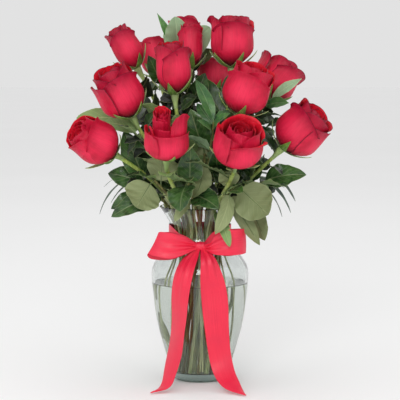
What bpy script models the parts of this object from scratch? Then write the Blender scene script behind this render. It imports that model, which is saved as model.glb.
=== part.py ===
"""Red roses with leafy filler stems in a clear glass vase, with a satin ribbon tied in a bow round its neck.

Metres, +Z up. The origin is the centre of the vase's flat base, and the bow faces -Y.
"""

import math
import random
from collections import namedtuple

import bpy
from mathutils import Matrix, Vector
from mathutils.bvhtree import BVHTree

# The air that parts keep between them where they touch, or where one stands in a hole of another
GAP = 0.0003

# Vase: radius and height along its outer outline, from the foot to the rim
VASE_HEIGHT = 0.235
VASE_OUTLINE = (
    (0.0350, 0.0000),
    (0.0388, 0.0070),
    (0.0462, 0.0340),
    (0.0572, 0.0740),
    (0.0630, 0.1120),
    (0.0654, 0.1410),
    (0.0632, 0.1550),
    (0.0560, 0.1670),
    (0.0455, 0.1785),
    (0.0382, 0.1900),
    (0.0370, 0.2000),
    (0.0402, 0.2110),
    (0.0468, 0.2230),
    (0.0548, VASE_HEIGHT),
)
VASE_WALL = 0.0032
VASE_FLOOR = 0.0120
VASE_SIDES = 24
WATER_LEVEL = 0.1310
WATER_RINGS = (0.034, 0.074, 0.112)

# Stem bundle: three rings of places, each a straight line from the vase's floor to its neck, twisted alike
FOOT_HEIGHT = VASE_FLOOR + GAP
NECK_HEIGHT = 0.2000
BUNDLE_TWIST = math.radians(50)
Ring = namedtuple("Ring", "places foot_radius neck_radius")
RINGS = {
    "inner": Ring(4, 0.0080, 0.0080),
    "middle": Ring(8, 0.0172, 0.0176),
    "outer": Ring(16, 0.0262, 0.0282),
}

# Roses: the middle of each bloom and the way that it faces, its size, how far it has opened, from 0 to 1, how
# far its first petal is turned to the right of its front in degrees, its count of outer petals and their
# height's share, its stem's place, and its count of leaves
Rose = namedtuple("Rose", "name middle facing height radius open turn outer guard ring place fronds")
ROSES = (
    Rose("top_left", (-0.1, -0.01, 0.448), (-0.5, -0.12, 0.86),
         0.06, 0.0212, 0.2, 12, 4, 0.94, "middle", 4, 1),
    Rose("back_left", (-0.063, 0.052, 0.434), (-0.25, 0.35, 0.9),
         0.052, 0.021, 0.3, 20, 4, 0.93, "middle", 3, 1),
    Rose("top_bud", (-0.013, 0.012, 0.45), (0.04, 0.04, 1),
         0.058, 0.0175, 0, -10, 3, 0.93, "inner", 2, 1),
    Rose("upper_left", (-0.036, -0.048, 0.4205), (-0.08, -0.14, 1),
         0.066, 0.0235, 0.1, 38, 4, 0.93, "inner", 3, 2),
    Rose("left", (-0.104, -0.06, 0.389), (-0.42, -0.28, 0.86),
         0.07, 0.029, 0.18, 18, 5, 0.9, "middle", 5, 2),
    Rose("top_right", (0.043, 0, 0.456), (0.02, -0.06, 1),
         0.066, 0.0285, 0.3, 6, 5, 0.93, "inner", 0, 2),
    Rose("back_right", (0.105, 0.032, 0.402), (0.5, 0.25, 0.83),
         0.06, 0.026, 0.45, 40, 4, 0.93, "outer", 1, 2),
    Rose("right_front", (0.061, -0.076, 0.392), (0.32, -0.24, 0.9),
         0.066, 0.031, 0.15, -14, 5, 0.93, "middle", 7, 2),
    Rose("back_centre", (0.018, 0.092, 0.401), (0.06, 0.5, 0.86),
         0.056, 0.025, 0.45, 0, 4, 0.93, "middle", 2, 1),
    Rose("far_left", (-0.137, -0.065, 0.324), (-0.72, -0.5, 0.48),
         0.062, 0.03, 0.12, 30, 5, 0.93, "outer", 9, 1),
    Rose("front_left", (-0.042, -0.112, 0.335), (0.02, -0.46, 0.89),
         0.064, 0.0272, 0.6, 0, 5, 0.68, "outer", 11, 2),
    Rose("front_right", (0.049, -0.117, 0.324), (0.1, -0.66, 0.75),
         0.058, 0.031, 0.55, -38, 5, 0.84, "outer", 13, 2),
    Rose("far_right", (0.132, -0.048, 0.34), (0.66, -0.26, 0.7),
         0.068, 0.0315, 0.15, -22, 5, 0.93, "outer", 15, 1),
    Rose("top_back", (-0.022, 0.081, 0.46), (-0.06, 0.26, 0.96),
         0.058, 0.024, 0.3, 0, 4, 0.93, "inner", 1, 1),
)

# Petals: thickness, how far one edge tucks under, and the shares of a bloom's height where it is widest and
# where it curls out
PETAL_THICKNESS = 0.0011
TUCK = 0.045
FOOT_SHARE = 0.24
WIDEST = 0.42
LIP = 0.66
HEART_SIDES = 7

# What a bloom stands on
BLOOM_FOOT = 0.0050
STEM_RADIUS = 0.0026
STEM_SIDES = 5
STEM_STEPS = 6
HIP_RADIUS = 0.0054
HIP_LENGTH = 0.0110
SEPALS = 5
SEPAL_WIDTH = 0.0092
SEPAL_THICKNESS = 0.0012

# Leaf kinds: how far a blade is from its stem, its outline's two powers, its arch and fold, its rib's
# thickness, and the shares of its length where its solid has a station
Kind = namedtuple("Kind", "stalk near far arch fold rib stations")
KINDS = {
    "salal": Kind(0.010, 0.50, 0.80, 0.10, 0.16, 0.0014, (0.08, 0.34, 0.66, 0.88)),
    "ruscus": Kind(0.002, 0.80, 1.05, 0.10, 0.20, 0.0013, (0.22, 0.64)),
    "narrow": Kind(0.002, 0.40, 0.70, 0.16, 0.10, 0.0012, (0.14, 0.56)),
}
STALK = 0.0009
LEAF_TRIES = 48

# Leafy stems: a stem's head and the way that it faces, then where each leaf leaves it, the leaf's tip and
# width, how far it is rolled in degrees, and for some the way that its upper face looks
Spray = namedtuple("Spray", "name kind radius ring place head facing leaves")
LeafPlan = namedtuple("LeafPlan", "at tip width roll face", defaults=(None,))
SPRAYS = (
    Spray("narrow_left", "narrow", 0.0013, "outer", 7, (-0.072, 0.004, 0.280), (-0.8, -0.1, 0.4), (
        LeafPlan(1.00, (-0.134, -0.022, 0.226), 0.006, 0),
        LeafPlan(0.92, (-0.132, 0.004, 0.262), 0.007, 0),
        LeafPlan(0.84, (-0.122, 0.026, 0.236), 0.007, 0),
    )),
    Spray("narrow_right", "narrow", 0.0013, "outer", 2, (0.070, 0.024, 0.280), (0.8, 0.2, 0.4), (
        LeafPlan(1.00, (0.128, -0.010, 0.242), 0.010, 0),
        LeafPlan(0.92, (0.121, -0.024, 0.228), 0.009, 0),
        LeafPlan(0.84, (0.113, 0.040, 0.216), 0.007, 0),
        LeafPlan(0.76, (0.126, 0.034, 0.262), 0.007, 0),
    )),
    Spray("salal_front_left", "salal", 0.0019, "outer", 10, (-0.060, -0.056, 0.274), (-0.6, -0.4, 0.7), (
        LeafPlan(1.00, (-0.082, -0.088, 0.241), 0.050, 0, (-0.2, 1.0, -0.2)),
        LeafPlan(0.86, (-0.050, -0.078, 0.308), 0.044, 0, (0.2, 1.0, 0.0)),
        LeafPlan(0.70, (-0.116, -0.060, 0.226), 0.034, 0, (-0.3, -1.0, 0.6)),
    )),
    Spray("salal_front_right", "salal", 0.0019, "outer", 14, (0.046, -0.054, 0.266), (0.5, -0.5, 0.7), (
        LeafPlan(1.00, (0.088, -0.092, 0.232), 0.052, 0, (0.1, 1.0, -0.2)),
        LeafPlan(0.92, (0.044, -0.094, 0.206), 0.024, 0, (0.3, -1.0, 0.4)),
        LeafPlan(0.84, (0.037, -0.082, 0.288), 0.028, 0, (0.0, 1.0, 0.1)),
        LeafPlan(0.76, (0.078, -0.070, 0.190), 0.020, 0, (0.2, 1.0, -0.3)),
    )),
    Spray("salal_front", "salal", 0.0019, "outer", 12, (-0.016, -0.062, 0.272), (-0.1, -0.6, 0.8), (
        LeafPlan(1.00, (-0.042, -0.096, 0.234), 0.040, 0, (-0.2, -1.0, 0.5)),
        LeafPlan(0.86, (-0.012, -0.074, 0.318), 0.034, 0, (0.0, -1.0, 0.3)),
        LeafPlan(0.72, (0.024, -0.094, 0.240), 0.034, 0, (0.1, -1.0, 0.5)),
    )),
    Spray("salal_left", "salal", 0.0019, "outer", 8, (-0.074, -0.018, 0.268), (-0.7, -0.1, 0.7), (
        LeafPlan(1.00, (-0.096, -0.034, 0.338), 0.036, 0, (0.3, -1.0, 0.2)),
        LeafPlan(0.90, (-0.117, -0.034, 0.290), 0.032, 0, (-0.3, -1.0, 0.4)),
        LeafPlan(0.80, (-0.110, 0.025, 0.270), 0.040, -30),
        LeafPlan(0.72, (-0.118, -0.030, 0.236), 0.032, 0, (-0.2, -1.0, 0.8)),
        LeafPlan(0.62, (-0.112, 0.016, 0.232), 0.040, 0),
    )),
    Spray("salal_right", "salal", 0.0019, "outer", 0, (0.078, -0.012, 0.266), (0.7, -0.1, 0.7), (
        LeafPlan(1.00, (0.141, -0.030, 0.279), 0.034, 0, (0.0, -1.0, 0.7)),
        LeafPlan(0.90, (0.086, -0.046, 0.324), 0.034, 0, (0.0, -1.0, 0.3)),
        LeafPlan(0.80, (0.108, 0.034, 0.302), 0.046, 0),
        LeafPlan(0.70, (0.086, -0.034, 0.192), 0.028, 0, (0.3, 1.0, 0.0)),
    )),
    Spray("salal_centre", "salal", 0.0019, "middle", 0, (0.006, -0.040, 0.308), (0.0, -0.3, 1.0), (
        LeafPlan(1.00, (-0.004, -0.068, 0.366), 0.034, 0, (0.0, -1.0, 0.2)),
        LeafPlan(0.84, (-0.036, -0.050, 0.340), 0.040, 0),
        LeafPlan(0.70, (0.046, -0.044, 0.330), 0.040, 0),
        LeafPlan(0.90, (-0.012, -0.084, 0.262), 0.028, 0, (0.1, 1.0, 0.0)),
    )),
    Spray("salal_back_right", "salal", 0.0019, "outer", 3, (0.040, 0.068, 0.268), (0.4, 0.6, 0.7), (
        LeafPlan(1.00, (0.060, 0.128, 0.282), 0.046, 0),
        LeafPlan(0.86, (0.012, 0.098, 0.322), 0.042, 0),
        LeafPlan(0.72, (0.096, 0.080, 0.246), 0.044, 0),
        LeafPlan(0.60, (0.030, 0.108, 0.220), 0.042, 0),
    )),
    Spray("salal_back_left", "salal", 0.0019, "outer", 6, (-0.054, 0.056, 0.268), (-0.5, 0.5, 0.7), (
        LeafPlan(1.00, (-0.098, 0.096, 0.286), 0.046, 0),
        LeafPlan(0.86, (-0.030, 0.098, 0.320), 0.042, 0),
        LeafPlan(0.72, (-0.108, 0.050, 0.240), 0.042, 0),
        LeafPlan(0.60, (-0.044, 0.106, 0.226), 0.042, 0),
    )),
    Spray("ruscus_top", "ruscus", 0.0014, "outer", 5, (-0.034, 0.042, 0.446), (-0.1, 0.0, 1.0), (
        LeafPlan(1.00, (-0.058, 0.026, 0.494), 0.011, 0, (0.0, -1.0, 0.3)),
        LeafPlan(0.98, (-0.040, 0.032, 0.491), 0.025, 0, (0.2, -1.0, 0.2)),
        LeafPlan(0.95, (0.010, 0.044, 0.480), 0.026, 0, (0.0, -1.0, 0.2)),
        LeafPlan(0.86, (-0.086, 0.036, 0.405), 0.022, 0),
        LeafPlan(0.80, (-0.024, 0.036, 0.420), 0.022, 0),
        LeafPlan(0.72, (-0.048, 0.100, 0.388), 0.022, 0),
        LeafPlan(0.62, (-0.088, 0.030, 0.360), 0.022, 0),
        LeafPlan(0.54, (0.006, 0.052, 0.358), 0.022, 0),
        LeafPlan(0.46, (-0.060, 0.070, 0.330), 0.022, 0),
    )),
    Spray("ruscus_right", "ruscus", 0.0014, "middle", 1, (0.095, -0.002, 0.378), (0.7, -0.1, 0.7), (
        LeafPlan(1.00, (0.136, -0.004, 0.406), 0.014, 0, (0.0, -1.0, 0.5)),
        LeafPlan(0.95, (0.118, -0.022, 0.374), 0.018, 0, (0.0, -1.0, 0.5)),
        LeafPlan(0.88, (0.092, -0.040, 0.386), 0.020, 0),
        LeafPlan(0.82, (0.108, 0.044, 0.352), 0.022, 0),
        LeafPlan(0.74, (0.074, -0.038, 0.350), 0.022, 0),
        LeafPlan(0.66, (0.052, 0.044, 0.360), 0.022, 0),
        LeafPlan(0.58, (0.084, 0.040, 0.320), 0.022, 0),
        LeafPlan(0.50, (0.066, -0.020, 0.312), 0.022, 0),
    )),
    Spray("ruscus_front", "ruscus", 0.0014, "middle", 6, (0.018, -0.058, 0.350), (0.1, -0.3, 0.9), (
        LeafPlan(1.00, (-0.006, -0.030, 0.405), 0.018, 0, (0.2, -1.0, 0.5)),
        LeafPlan(0.94, (0.041, -0.074, 0.370), 0.014, 0, (0.0, -1.0, 0.6)),
        LeafPlan(0.90, (-0.004, -0.090, 0.354), 0.012, 0, (0.0, -1.0, 0.6)),
        LeafPlan(0.84, (0.038, -0.070, 0.351), 0.012, 0, (0.0, -1.0, 0.6)),
        LeafPlan(0.76, (-0.024, -0.080, 0.330), 0.020, 0),
        LeafPlan(0.68, (0.046, -0.062, 0.318), 0.020, 0),
    )),
)

# Rose leaf, from its root: how far along its rib and its edges are, its half width, its lift, and how far
# its edges droop
FROND = (
    (0.0130, 0.0130, 0.0008, 0.0020, 0.0000),
    (0.0200, 0.0280, 0.0300, 0.0030, 0.0030),
    (0.0330, 0.0330, 0.0008, 0.0040, 0.0000),
    (0.0520, 0.0520, 0.0130, 0.0040, -0.0015),
)
FROND_LENGTH = 0.0740
FROND_DROP = 0.0040
FROND_RIB = 0.0012
FROND_TRIES = 60

# Ribbon: its flat width, and for each tail its left and right edges as x, y, z, from the knot to the tip
RIBBON_WIDTH = 0.038
RIBBON_THICKNESS = 0.0009
KNOT = Vector((0.0005, -0.0500, 0.1860))
KNOT_HALF = (0.0062, 0.0052, 0.0056)
KNOT_SIDES = 8
BAND_WIDTH = 0.024
BAND_HEIGHT = 0.2005
BAND_PINCH = 0.010
BAND_STEPS = 20
TAILS = {
    "left": (
        ((-0.0035, -0.0500, 0.1850), (0.0000, -0.0540, 0.1830)),
        ((-0.0230, -0.0560, 0.1710), (-0.0030, -0.0680, 0.1700)),
        ((-0.0320, -0.0640, 0.1520), (-0.0095, -0.0830, 0.1480)),
        ((-0.0370, -0.0600, 0.1200), (-0.0140, -0.0880, 0.1200)),
        ((-0.0390, -0.0580, 0.0850), (-0.0190, -0.0890, 0.0850)),
        ((-0.0410, -0.0610, 0.0520), (-0.0220, -0.0930, 0.0500)),
        ((-0.0480, -0.0740, 0.0260), (-0.0290, -0.1010, 0.0220)),
        ((-0.0560, -0.0880, 0.0080), (-0.0420, -0.1020, 0.0070)),
    ),
    "right": (
        ((0.0010, -0.0540, 0.1830), (0.0070, -0.0510, 0.1850)),
        ((0.0000, -0.0680, 0.1690), (0.0215, -0.0590, 0.1690)),
        ((0.0005, -0.0730, 0.1480), (0.0310, -0.0660, 0.1480)),
        ((0.0020, -0.0715, 0.1200), (0.0360, -0.0650, 0.1200)),
        ((0.0050, -0.0720, 0.0850), (0.0375, -0.0660, 0.0850)),
        ((0.0100, -0.0760, 0.0520), (0.0405, -0.0700, 0.0520)),
        ((0.0180, -0.0860, 0.0240), (0.0460, -0.0820, 0.0240)),
        ((0.0330, -0.1020, 0.0060), (0.0530, -0.0990, 0.0090)),
    ),
}
TAIL_TIPS = {"left": (-0.0640, -0.1060, 0.0016), "right": (0.0590, -0.1200, 0.0016)}
LOOPS = {
    "left": (
        ((-0.0040, -0.0535, 0.1900), (-0.0040, -0.0535, 0.1830)),
        ((-0.0200, -0.0620, 0.1990), (-0.0190, -0.0630, 0.1770)),
        ((-0.0360, -0.0660, 0.2050), (-0.0390, -0.0680, 0.1720)),
        ((-0.0500, -0.0620, 0.2065), (-0.0580, -0.0650, 0.1715)),
        ((-0.0545, -0.0560, 0.2050), (-0.0690, -0.0580, 0.1760)),
        ((-0.0500, -0.0510, 0.2050), (-0.0640, -0.0525, 0.1720)),
        ((-0.0360, -0.0450, 0.2040), (-0.0400, -0.0500, 0.1700)),
        ((-0.0190, -0.0450, 0.1990), (-0.0200, -0.0520, 0.1750)),
        ((-0.0040, -0.0480, 0.1890), (-0.0040, -0.0490, 0.1830)),
    ),
    "right": (
        ((0.0045, -0.0535, 0.1900), (0.0045, -0.0535, 0.1830)),
        ((0.0200, -0.0610, 0.2060), (0.0190, -0.0620, 0.1770)),
        ((0.0360, -0.0640, 0.2100), (0.0360, -0.0660, 0.1750)),
        ((0.0520, -0.0620, 0.2100), (0.0530, -0.0640, 0.1755)),
        ((0.0580, -0.0570, 0.2095), (0.0600, -0.0580, 0.1760)),
        ((0.0530, -0.0515, 0.2090), (0.0550, -0.0530, 0.1750)),
        ((0.0370, -0.0450, 0.2070), (0.0380, -0.0500, 0.1720)),
        ((0.0190, -0.0440, 0.2000), (0.0200, -0.0510, 0.1750)),
        ((0.0045, -0.0475, 0.1890), (0.0045, -0.0490, 0.1830)),
    ),
}


def made_material(name, colour, roughness, alpha=1.0):
    material = bpy.data.materials.new(name)
    material.use_nodes = True
    shader = material.node_tree.nodes["Principled BSDF"]
    shader.inputs["Base Color"].default_value = (*colour, 1.0)
    shader.inputs["Roughness"].default_value = roughness
    shader.inputs["Metallic"].default_value = 0.0
    shader.inputs["Alpha"].default_value = alpha
    return material


def mesh_object(name, points, faces, material=None, smooth=False):
    mesh = bpy.data.meshes.new(name)
    mesh.from_pydata([tuple(p) for p in points], [], faces)
    if smooth:
        mesh.shade_smooth()
        mesh.set_sharp_from_angle(angle=math.radians(45))
    mesh.update()
    made = bpy.data.objects.new(name, mesh)
    if material:
        mesh.materials.append(material)
    bpy.context.scene.collection.objects.link(made)
    return made


def combined(made, pieces, operation):
    """Joins (points, faces) pieces to an object, or cuts them from it, in one Boolean."""
    others = bpy.data.collections.new(made.name + "_others")
    bpy.context.scene.collection.children.link(others)
    for points, faces in pieces:
        other = mesh_object(made.name + "_other", points, faces)
        bpy.context.scene.collection.objects.unlink(other)
        others.objects.link(other)
    boolean = made.modifiers.new("boolean", "BOOLEAN")
    boolean.operation = operation
    boolean.operand_type = "COLLECTION"
    boolean.collection = others
    boolean.solver = "EXACT"
    bpy.context.view_layer.update()
    graph = bpy.context.evaluated_depsgraph_get()
    made.data = bpy.data.meshes.new_from_object(made.evaluated_get(graph))
    made.modifiers.clear()
    for other in list(others.objects):
        bpy.data.objects.remove(other)
    bpy.data.collections.remove(others)
    return made


def fused(name, pieces, material):
    """One closed object from pieces that cross each other."""
    return combined(mesh_object(name, *pieces[0], material), pieces[1:], "UNION")


def ring_faces(rings, sides):
    """Quads between neighbouring rings of points stored one after another."""
    faces = []
    for i in range(rings - 1):
        for k in range(sides):
            n = (k + 1) % sides
            faces.append((i * sides + k, i * sides + n, (i + 1) * sides + n, (i + 1) * sides + k))
    return faces


def turned(profile, sides):
    """An outline of (radius, height) turned about Z, listed upwards on the outside.

    Radius 0 makes a single point.
    """
    points, rings = [], []
    for radius, height in profile:
        if radius == 0:
            rings.append([len(points)] * sides)
            points.append(Vector((0, 0, height)))
            continue
        rings.append(list(range(len(points), len(points) + sides)))
        for k in range(sides):
            angle = 2 * math.pi * k / sides
            points.append(Vector((radius * math.cos(angle), radius * math.sin(angle), height)))
    faces = []
    for lower, upper in zip(rings, rings[1:]):
        for k in range(sides):
            n = (k + 1) % sides
            faces.append(tuple(dict.fromkeys((lower[k], lower[n], upper[n], upper[k]))))
    return points, faces


def smooth_step(x):
    x = min(1.0, max(0.0, x))
    return x * x * (3 - 2 * x)


def facing_matrix(middle, facing):
    """Carries +Z to a direction, and the origin to a place."""
    turn = Vector(facing).normalized().to_track_quat("Z", "Y").to_matrix().to_4x4()
    return Matrix.Translation(Vector(middle)) @ turn


def tree_of(piece):
    points, faces = piece
    return BVHTree.FromPolygons([tuple(p) for p in points], faces)


def is_clear(pieces, trees):
    """Whether none of the pieces crosses anything that already stands."""
    mine = [tree_of(piece) for piece in pieces]
    return not any(tree.overlap(other) for tree in mine for other in trees)


# Vase and water


def vase_radius(height):
    """Outer radius of the vase at a height, on the same straight runs as its outline."""
    for (low_radius, low), (high_radius, high) in zip(VASE_OUTLINE, VASE_OUTLINE[1:]):
        if height <= high:
            return low_radius + (high_radius - low_radius) * (height - low) / (high - low)
    return VASE_OUTLINE[-1][0]


def inner_radius(height):
    return vase_radius(height) - VASE_WALL


def vase(material):
    inside = [(inner_radius(h), h) for _, h in reversed(VASE_OUTLINE) if h > VASE_FLOOR]
    floor = [(inner_radius(VASE_FLOOR), VASE_FLOOR), (0, VASE_FLOOR)]
    profile = [(0, 0), *VASE_OUTLINE, *inside, *floor]
    return mesh_object("vase", *turned(profile, VASE_SIDES), material, smooth=True)


def water(material, stems):
    """A plain filling of the vase, with a hole for each stem that stands in it."""
    heights = [VASE_FLOOR + GAP, *WATER_RINGS, WATER_LEVEL]
    profile = [(0, heights[0]), *((inner_radius(h) - GAP, h) for h in heights), (0, WATER_LEVEL)]
    made = mesh_object("water", *turned(profile, VASE_SIDES), material, smooth=True)
    holes = []
    for stem in stems:
        foot, neck = stem.path[0], stem.path[1]
        ends = [foot.lerp(neck, share) for share in (-0.05, 0.80)]
        holes.append(tube(ends, stem.radius + GAP / math.cos(math.pi / STEM_SIDES)))
    return combined(made, holes, "DIFFERENCE")


# Stems

Stem = namedtuple("Stem", "radius path")


def bundle_point(ring, place, height):
    """A place of the bundle at a height between the vase's floor and its neck."""
    neck_angle = 2 * math.pi * place / RINGS[ring].places
    foot_angle = neck_angle - BUNDLE_TWIST
    foot = Vector((math.cos(foot_angle), math.sin(foot_angle), 0)) * RINGS[ring].foot_radius
    neck = Vector((math.cos(neck_angle), math.sin(neck_angle), 0)) * RINGS[ring].neck_radius
    point = foot.lerp(neck, (height - FOOT_HEIGHT) / (NECK_HEIGHT - FOOT_HEIGHT))
    point.z = height
    return point


def stem_of(radius, ring, place, head, facing):
    """Straight up to the neck, then one smooth bend to the head, met along the way that it faces."""
    foot = bundle_point(ring, place, FOOT_HEIGHT)
    neck = bundle_point(ring, place, NECK_HEIGHT)
    head, facing = Vector(head), Vector(facing).normalized()
    reach = (head - neck).length
    leave = neck + (neck - foot).normalized() * reach * 0.34
    arrive = head - facing * reach * 0.38
    path = [foot, neck]
    for i in range(1, STEM_STEPS + 1):
        t = i / STEM_STEPS
        start = neck * (1 - t) ** 3 + leave * 3 * t * (1 - t) ** 2
        path.append(start + arrive * 3 * t**2 * (1 - t) + head * t**3)
    return Stem(radius, path)


def along_stem(stem, at):
    """A point of a stem between its neck, at 0, and its head, at 1."""
    runs = stem.path[1:]
    place = at * (len(runs) - 1)
    k = min(int(place), len(runs) - 2)
    return runs[k].lerp(runs[k + 1], place - k)


def tube(path, radius):
    """A round bar along a path, closed at both ends, its foot cut level."""
    points, across = [], None
    for i, centre in enumerate(path):
        before, after = path[max(i - 1, 0)], path[min(i + 1, len(path) - 1)]
        ahead = (after - before).normalized()
        if across is None:
            across = ahead.orthogonal().normalized()
        across = (across - ahead * across.dot(ahead)).normalized()
        other = ahead.cross(across)
        for k in range(STEM_SIDES):
            angle = 2 * math.pi * k / STEM_SIDES
            point = centre + (across * math.cos(angle) + other * math.sin(angle)) * radius
            if i == 0:
                point += ahead * (centre.z - point.z) / ahead.z
            points.append(point)
    foot, head = tuple(range(STEM_SIDES)), tuple(range(len(points) - STEM_SIDES, len(points)))
    return points, [foot[::-1], head, *ring_faces(len(path), STEM_SIDES)]


def stem_piece(stem):
    return tube(stem.path, stem.radius)


# Blooms

# A petal: its angle round the bloom, its reach and height as shares of the bloom's, how far it closes in
# above the widest place and curls out at its lip, and how far its sides fall below its middle
Petal = namedtuple("Petal", "turn reach height close flare drop")


def bloom_place(rose):
    return facing_matrix(bloom_foot(rose), rose.facing)


def turn_of(rose, degrees):
    """The angle in the bloom's own frame of what is that far past its first petal, to the right."""
    ahead = bloom_place(rose).to_3x3().inverted() @ Vector((0, -1, 0))
    return math.atan2(ahead.y, ahead.x) + math.radians(rose.turn + degrees)


def petals_of(rose):
    """The petals of a bloom: three round its rolled heart, then the outer ones, which open with the bloom."""
    o = rose.open
    inner, outer = [], []
    for i in range(3):
        turn, reach, flare = turn_of(rose, 40 + 120 * i), 0.72 + 0.08 * o, 0.04 + 0.04 * o
        inner.append(Petal(turn, reach, 1.0 - 0.03 * i, 0.36 - 0.14 * o, flare, 0.14))
    for i in range(rose.outer):
        turn = turn_of(rose, 360 * i / rose.outer)
        high = rose.guard - 0.08 * o * (i % 2) - 0.05 * (i % 3 == 0)
        reach, flare = 0.98 + 0.05 * (i % 2), 0.08 + 0.30 * o + 0.07 * (i % 2)
        outer.append(Petal(turn, reach, high, 0.26 - 0.30 * o, flare, 0.20))
    return inner, outer


def belly(rise):
    """A bloom's share of its full radius at a share of its height, up to where it is widest."""
    return FOOT_SHARE + (1 - FOOT_SHARE) * math.sin(math.pi / 2 * min(1.0, rise / WIDEST)) ** 0.75


def petal_point(rose, petal, spread, s, t):
    """A point of a petal in the bloom's own frame.

    s runs across it from -1 to 1, and t from its foot, at 0, to its rim, at 1.
    """
    rise = t * (1 - petal.drop * s * s * smooth_step(t))
    over = max(0.0, rise - WIDEST) / (1 - WIDEST)
    lip = max(0.0, rise - LIP) / (1 - LIP)
    share = belly(rise) * (1 - petal.close * over**2) + petal.flare * lip**2
    angle = petal.turn + spread * s
    radius = rose.radius * (petal.reach * share + TUCK * s * smooth_step(rise * 2))
    return Vector((radius * math.cos(angle), radius * math.sin(angle), rose.height * petal.height * rise))


def layer_piece(rose, petals, across, up, apex):
    """A closed ring of petals, each stepped over the next, with a thin rim and a hollow down to the heart."""
    spread = math.pi / len(petals) * 0.985
    rings = [[petal_point(rose, petal, spread, s, t) for petal in petals for s in across] for t in up]
    rim = []
    for p in rings[-1]:
        inward = Vector((-p.x, -p.y, 0)).normalized()
        rim.append(p + inward * PETAL_THICKNESS - Vector((0, 0, PETAL_THICKNESS * 0.4)))
    rings.append(rim)
    columns = len(rim)
    points = [p for ring in rings for p in ring]
    points += [Vector((0, 0, rose.height * up[0] * 0.6)), Vector((0, 0, rose.height * apex))]
    faces = []
    for a, b, c, d in ring_faces(len(rings), columns):
        faces += [(a, b, c), (a, c, d)]
    last = (len(rings) - 1) * columns
    for k in range(columns):
        n = (k + 1) % columns
        faces += [(n, k, len(points) - 2), (last + k, last + n, len(points) - 1)]
    return points, faces


def heart_piece(rose):
    """The rolled heart of a bloom: its rim steps up round it, and its top is hollow."""
    profile = ((BLOOM_FOOT / rose.radius, 0.0), (0.54, 0.25), (0.34, 0.90))
    step, hollow = 0.06, 0.80
    points = []
    for share, rise in profile:
        for k in range(HEART_SIDES):
            angle = 2 * math.pi * k / HEART_SIDES
            height = rose.height * (rise + step * k / HEART_SIDES * (rise > hollow))
            reach = share * rose.radius
            points.append(Vector((math.cos(angle) * reach, math.sin(angle) * reach, height)))
    faces = [tuple(range(HEART_SIDES))[::-1], *ring_faces(len(profile), HEART_SIDES)]
    rim = (len(profile) - 1) * HEART_SIDES
    points.append(Vector((0, 0, rose.height * hollow)))
    faces += [(rim + k, rim + (k + 1) % HEART_SIDES, len(points) - 1) for k in range(HEART_SIDES)]
    return points, faces


def bloom_foot(rose):
    return Vector(rose.middle) - Vector(rose.facing).normalized() * rose.height / 2


def bloom(rose, material):
    place = bloom_place(rose)
    inner, outer = petals_of(rose)
    pieces = [
        layer_piece(rose, outer, (-1.0, -0.36, 0.36, 1.0), (0.05, 0.36, 0.72, 1.0), 0.42 * rose.guard),
        layer_piece(rose, inner, (-1.0, 0.0, 1.0), (0.30, 0.70, 1.0), 0.66),
        heart_piece(rose),
    ]
    pieces = [([place @ p for p in points], faces) for points, faces in pieces]
    return fused("bloom_" + rose.name, pieces, material)


def stem_head(rose):
    """Where a rose's stem ends, inside the hip."""
    return bloom_foot(rose) - Vector(rose.facing).normalized() * (HIP_LENGTH * 0.5 + GAP)


def hip_piece(rose):
    """The swollen top of the stem that the bloom and its sepals stand on."""
    top = -GAP
    low, middle = top - HIP_LENGTH, top - HIP_LENGTH * 0.5
    profile = ((0, low), (HIP_RADIUS * 0.82, middle), (HIP_RADIUS, top), (0, top))
    points, faces = turned(profile, STEM_SIDES)
    place = bloom_place(rose)
    return [place @ p for p in points], faces


# Leaves

Leaf = namedtuple("Leaf", "kind root base tip width roll face wave")


def blade(stations, tip):
    """A closed blade through stations of four points: left edge, rib top, right edge and rib underside."""
    points = [p for station in stations for p in station] + [tip]
    last = (len(stations) - 1) * 4
    faces = [(3, 2, 1), (3, 1, 0)]
    for a in range(0, last, 4):
        b = a + 4
        faces += [(a, a + 1, b + 1), (a, b + 1, b), (a + 1, a + 2, b + 1), (a + 2, b + 2, b + 1)]
        faces += [(a + 2, a + 3, b + 3), (a + 2, b + 3, b + 2), (a + 3, a, b + 3), (a, b, b + 3)]
    faces += [(last + k, last + (k + 1) % 4, len(points) - 1) for k in range(4)]
    return points, faces


def station(middle, across, up, half, rib):
    return middle - across * half, middle + up * rib, middle + across * half, middle - up * rib


def leaf_frame(leaf):
    """Directions along, across and up from a leaf.

    Where its plan doesn't say where its upper face looks, that is to the sky, or if it stands, to the axis.
    """
    along = (leaf.tip - leaf.base).normalized()
    inward = Vector((-leaf.base.x, -leaf.base.y, 0)).normalized()
    hint = Vector(leaf.face) if leaf.face else Vector((0, 0, 1)) + inward * 1.5 * max(0.0, along.z)
    up = (hint - along * hint.dot(along)).normalized()
    up = Matrix.Rotation(leaf.roll, 3, along) @ up
    return along, along.cross(up), up


def leaf_point(leaf, s, t):
    """A point of a leaf's middle surface: s runs across it from -1 to 1, t along it from 0 to 1."""
    kind = KINDS[leaf.kind]
    along, across, up = leaf_frame(leaf)
    length = (leaf.tip - leaf.base).length
    widest = kind.near / (kind.near + kind.far)
    outline = (t / widest) ** kind.near * ((1 - t) / (1 - widest)) ** kind.far
    half = leaf.width / 2 * outline
    wave = leaf.width * 0.07 * math.sin(2 * math.pi * (1.3 * t + leaf.wave) + s) * outline
    lift = kind.arch * length * 4 * t * (1 - t) + half * kind.fold * abs(s) + wave * s * s
    return leaf.base + along * (length * t) + across * (half * s) + up * lift


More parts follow.
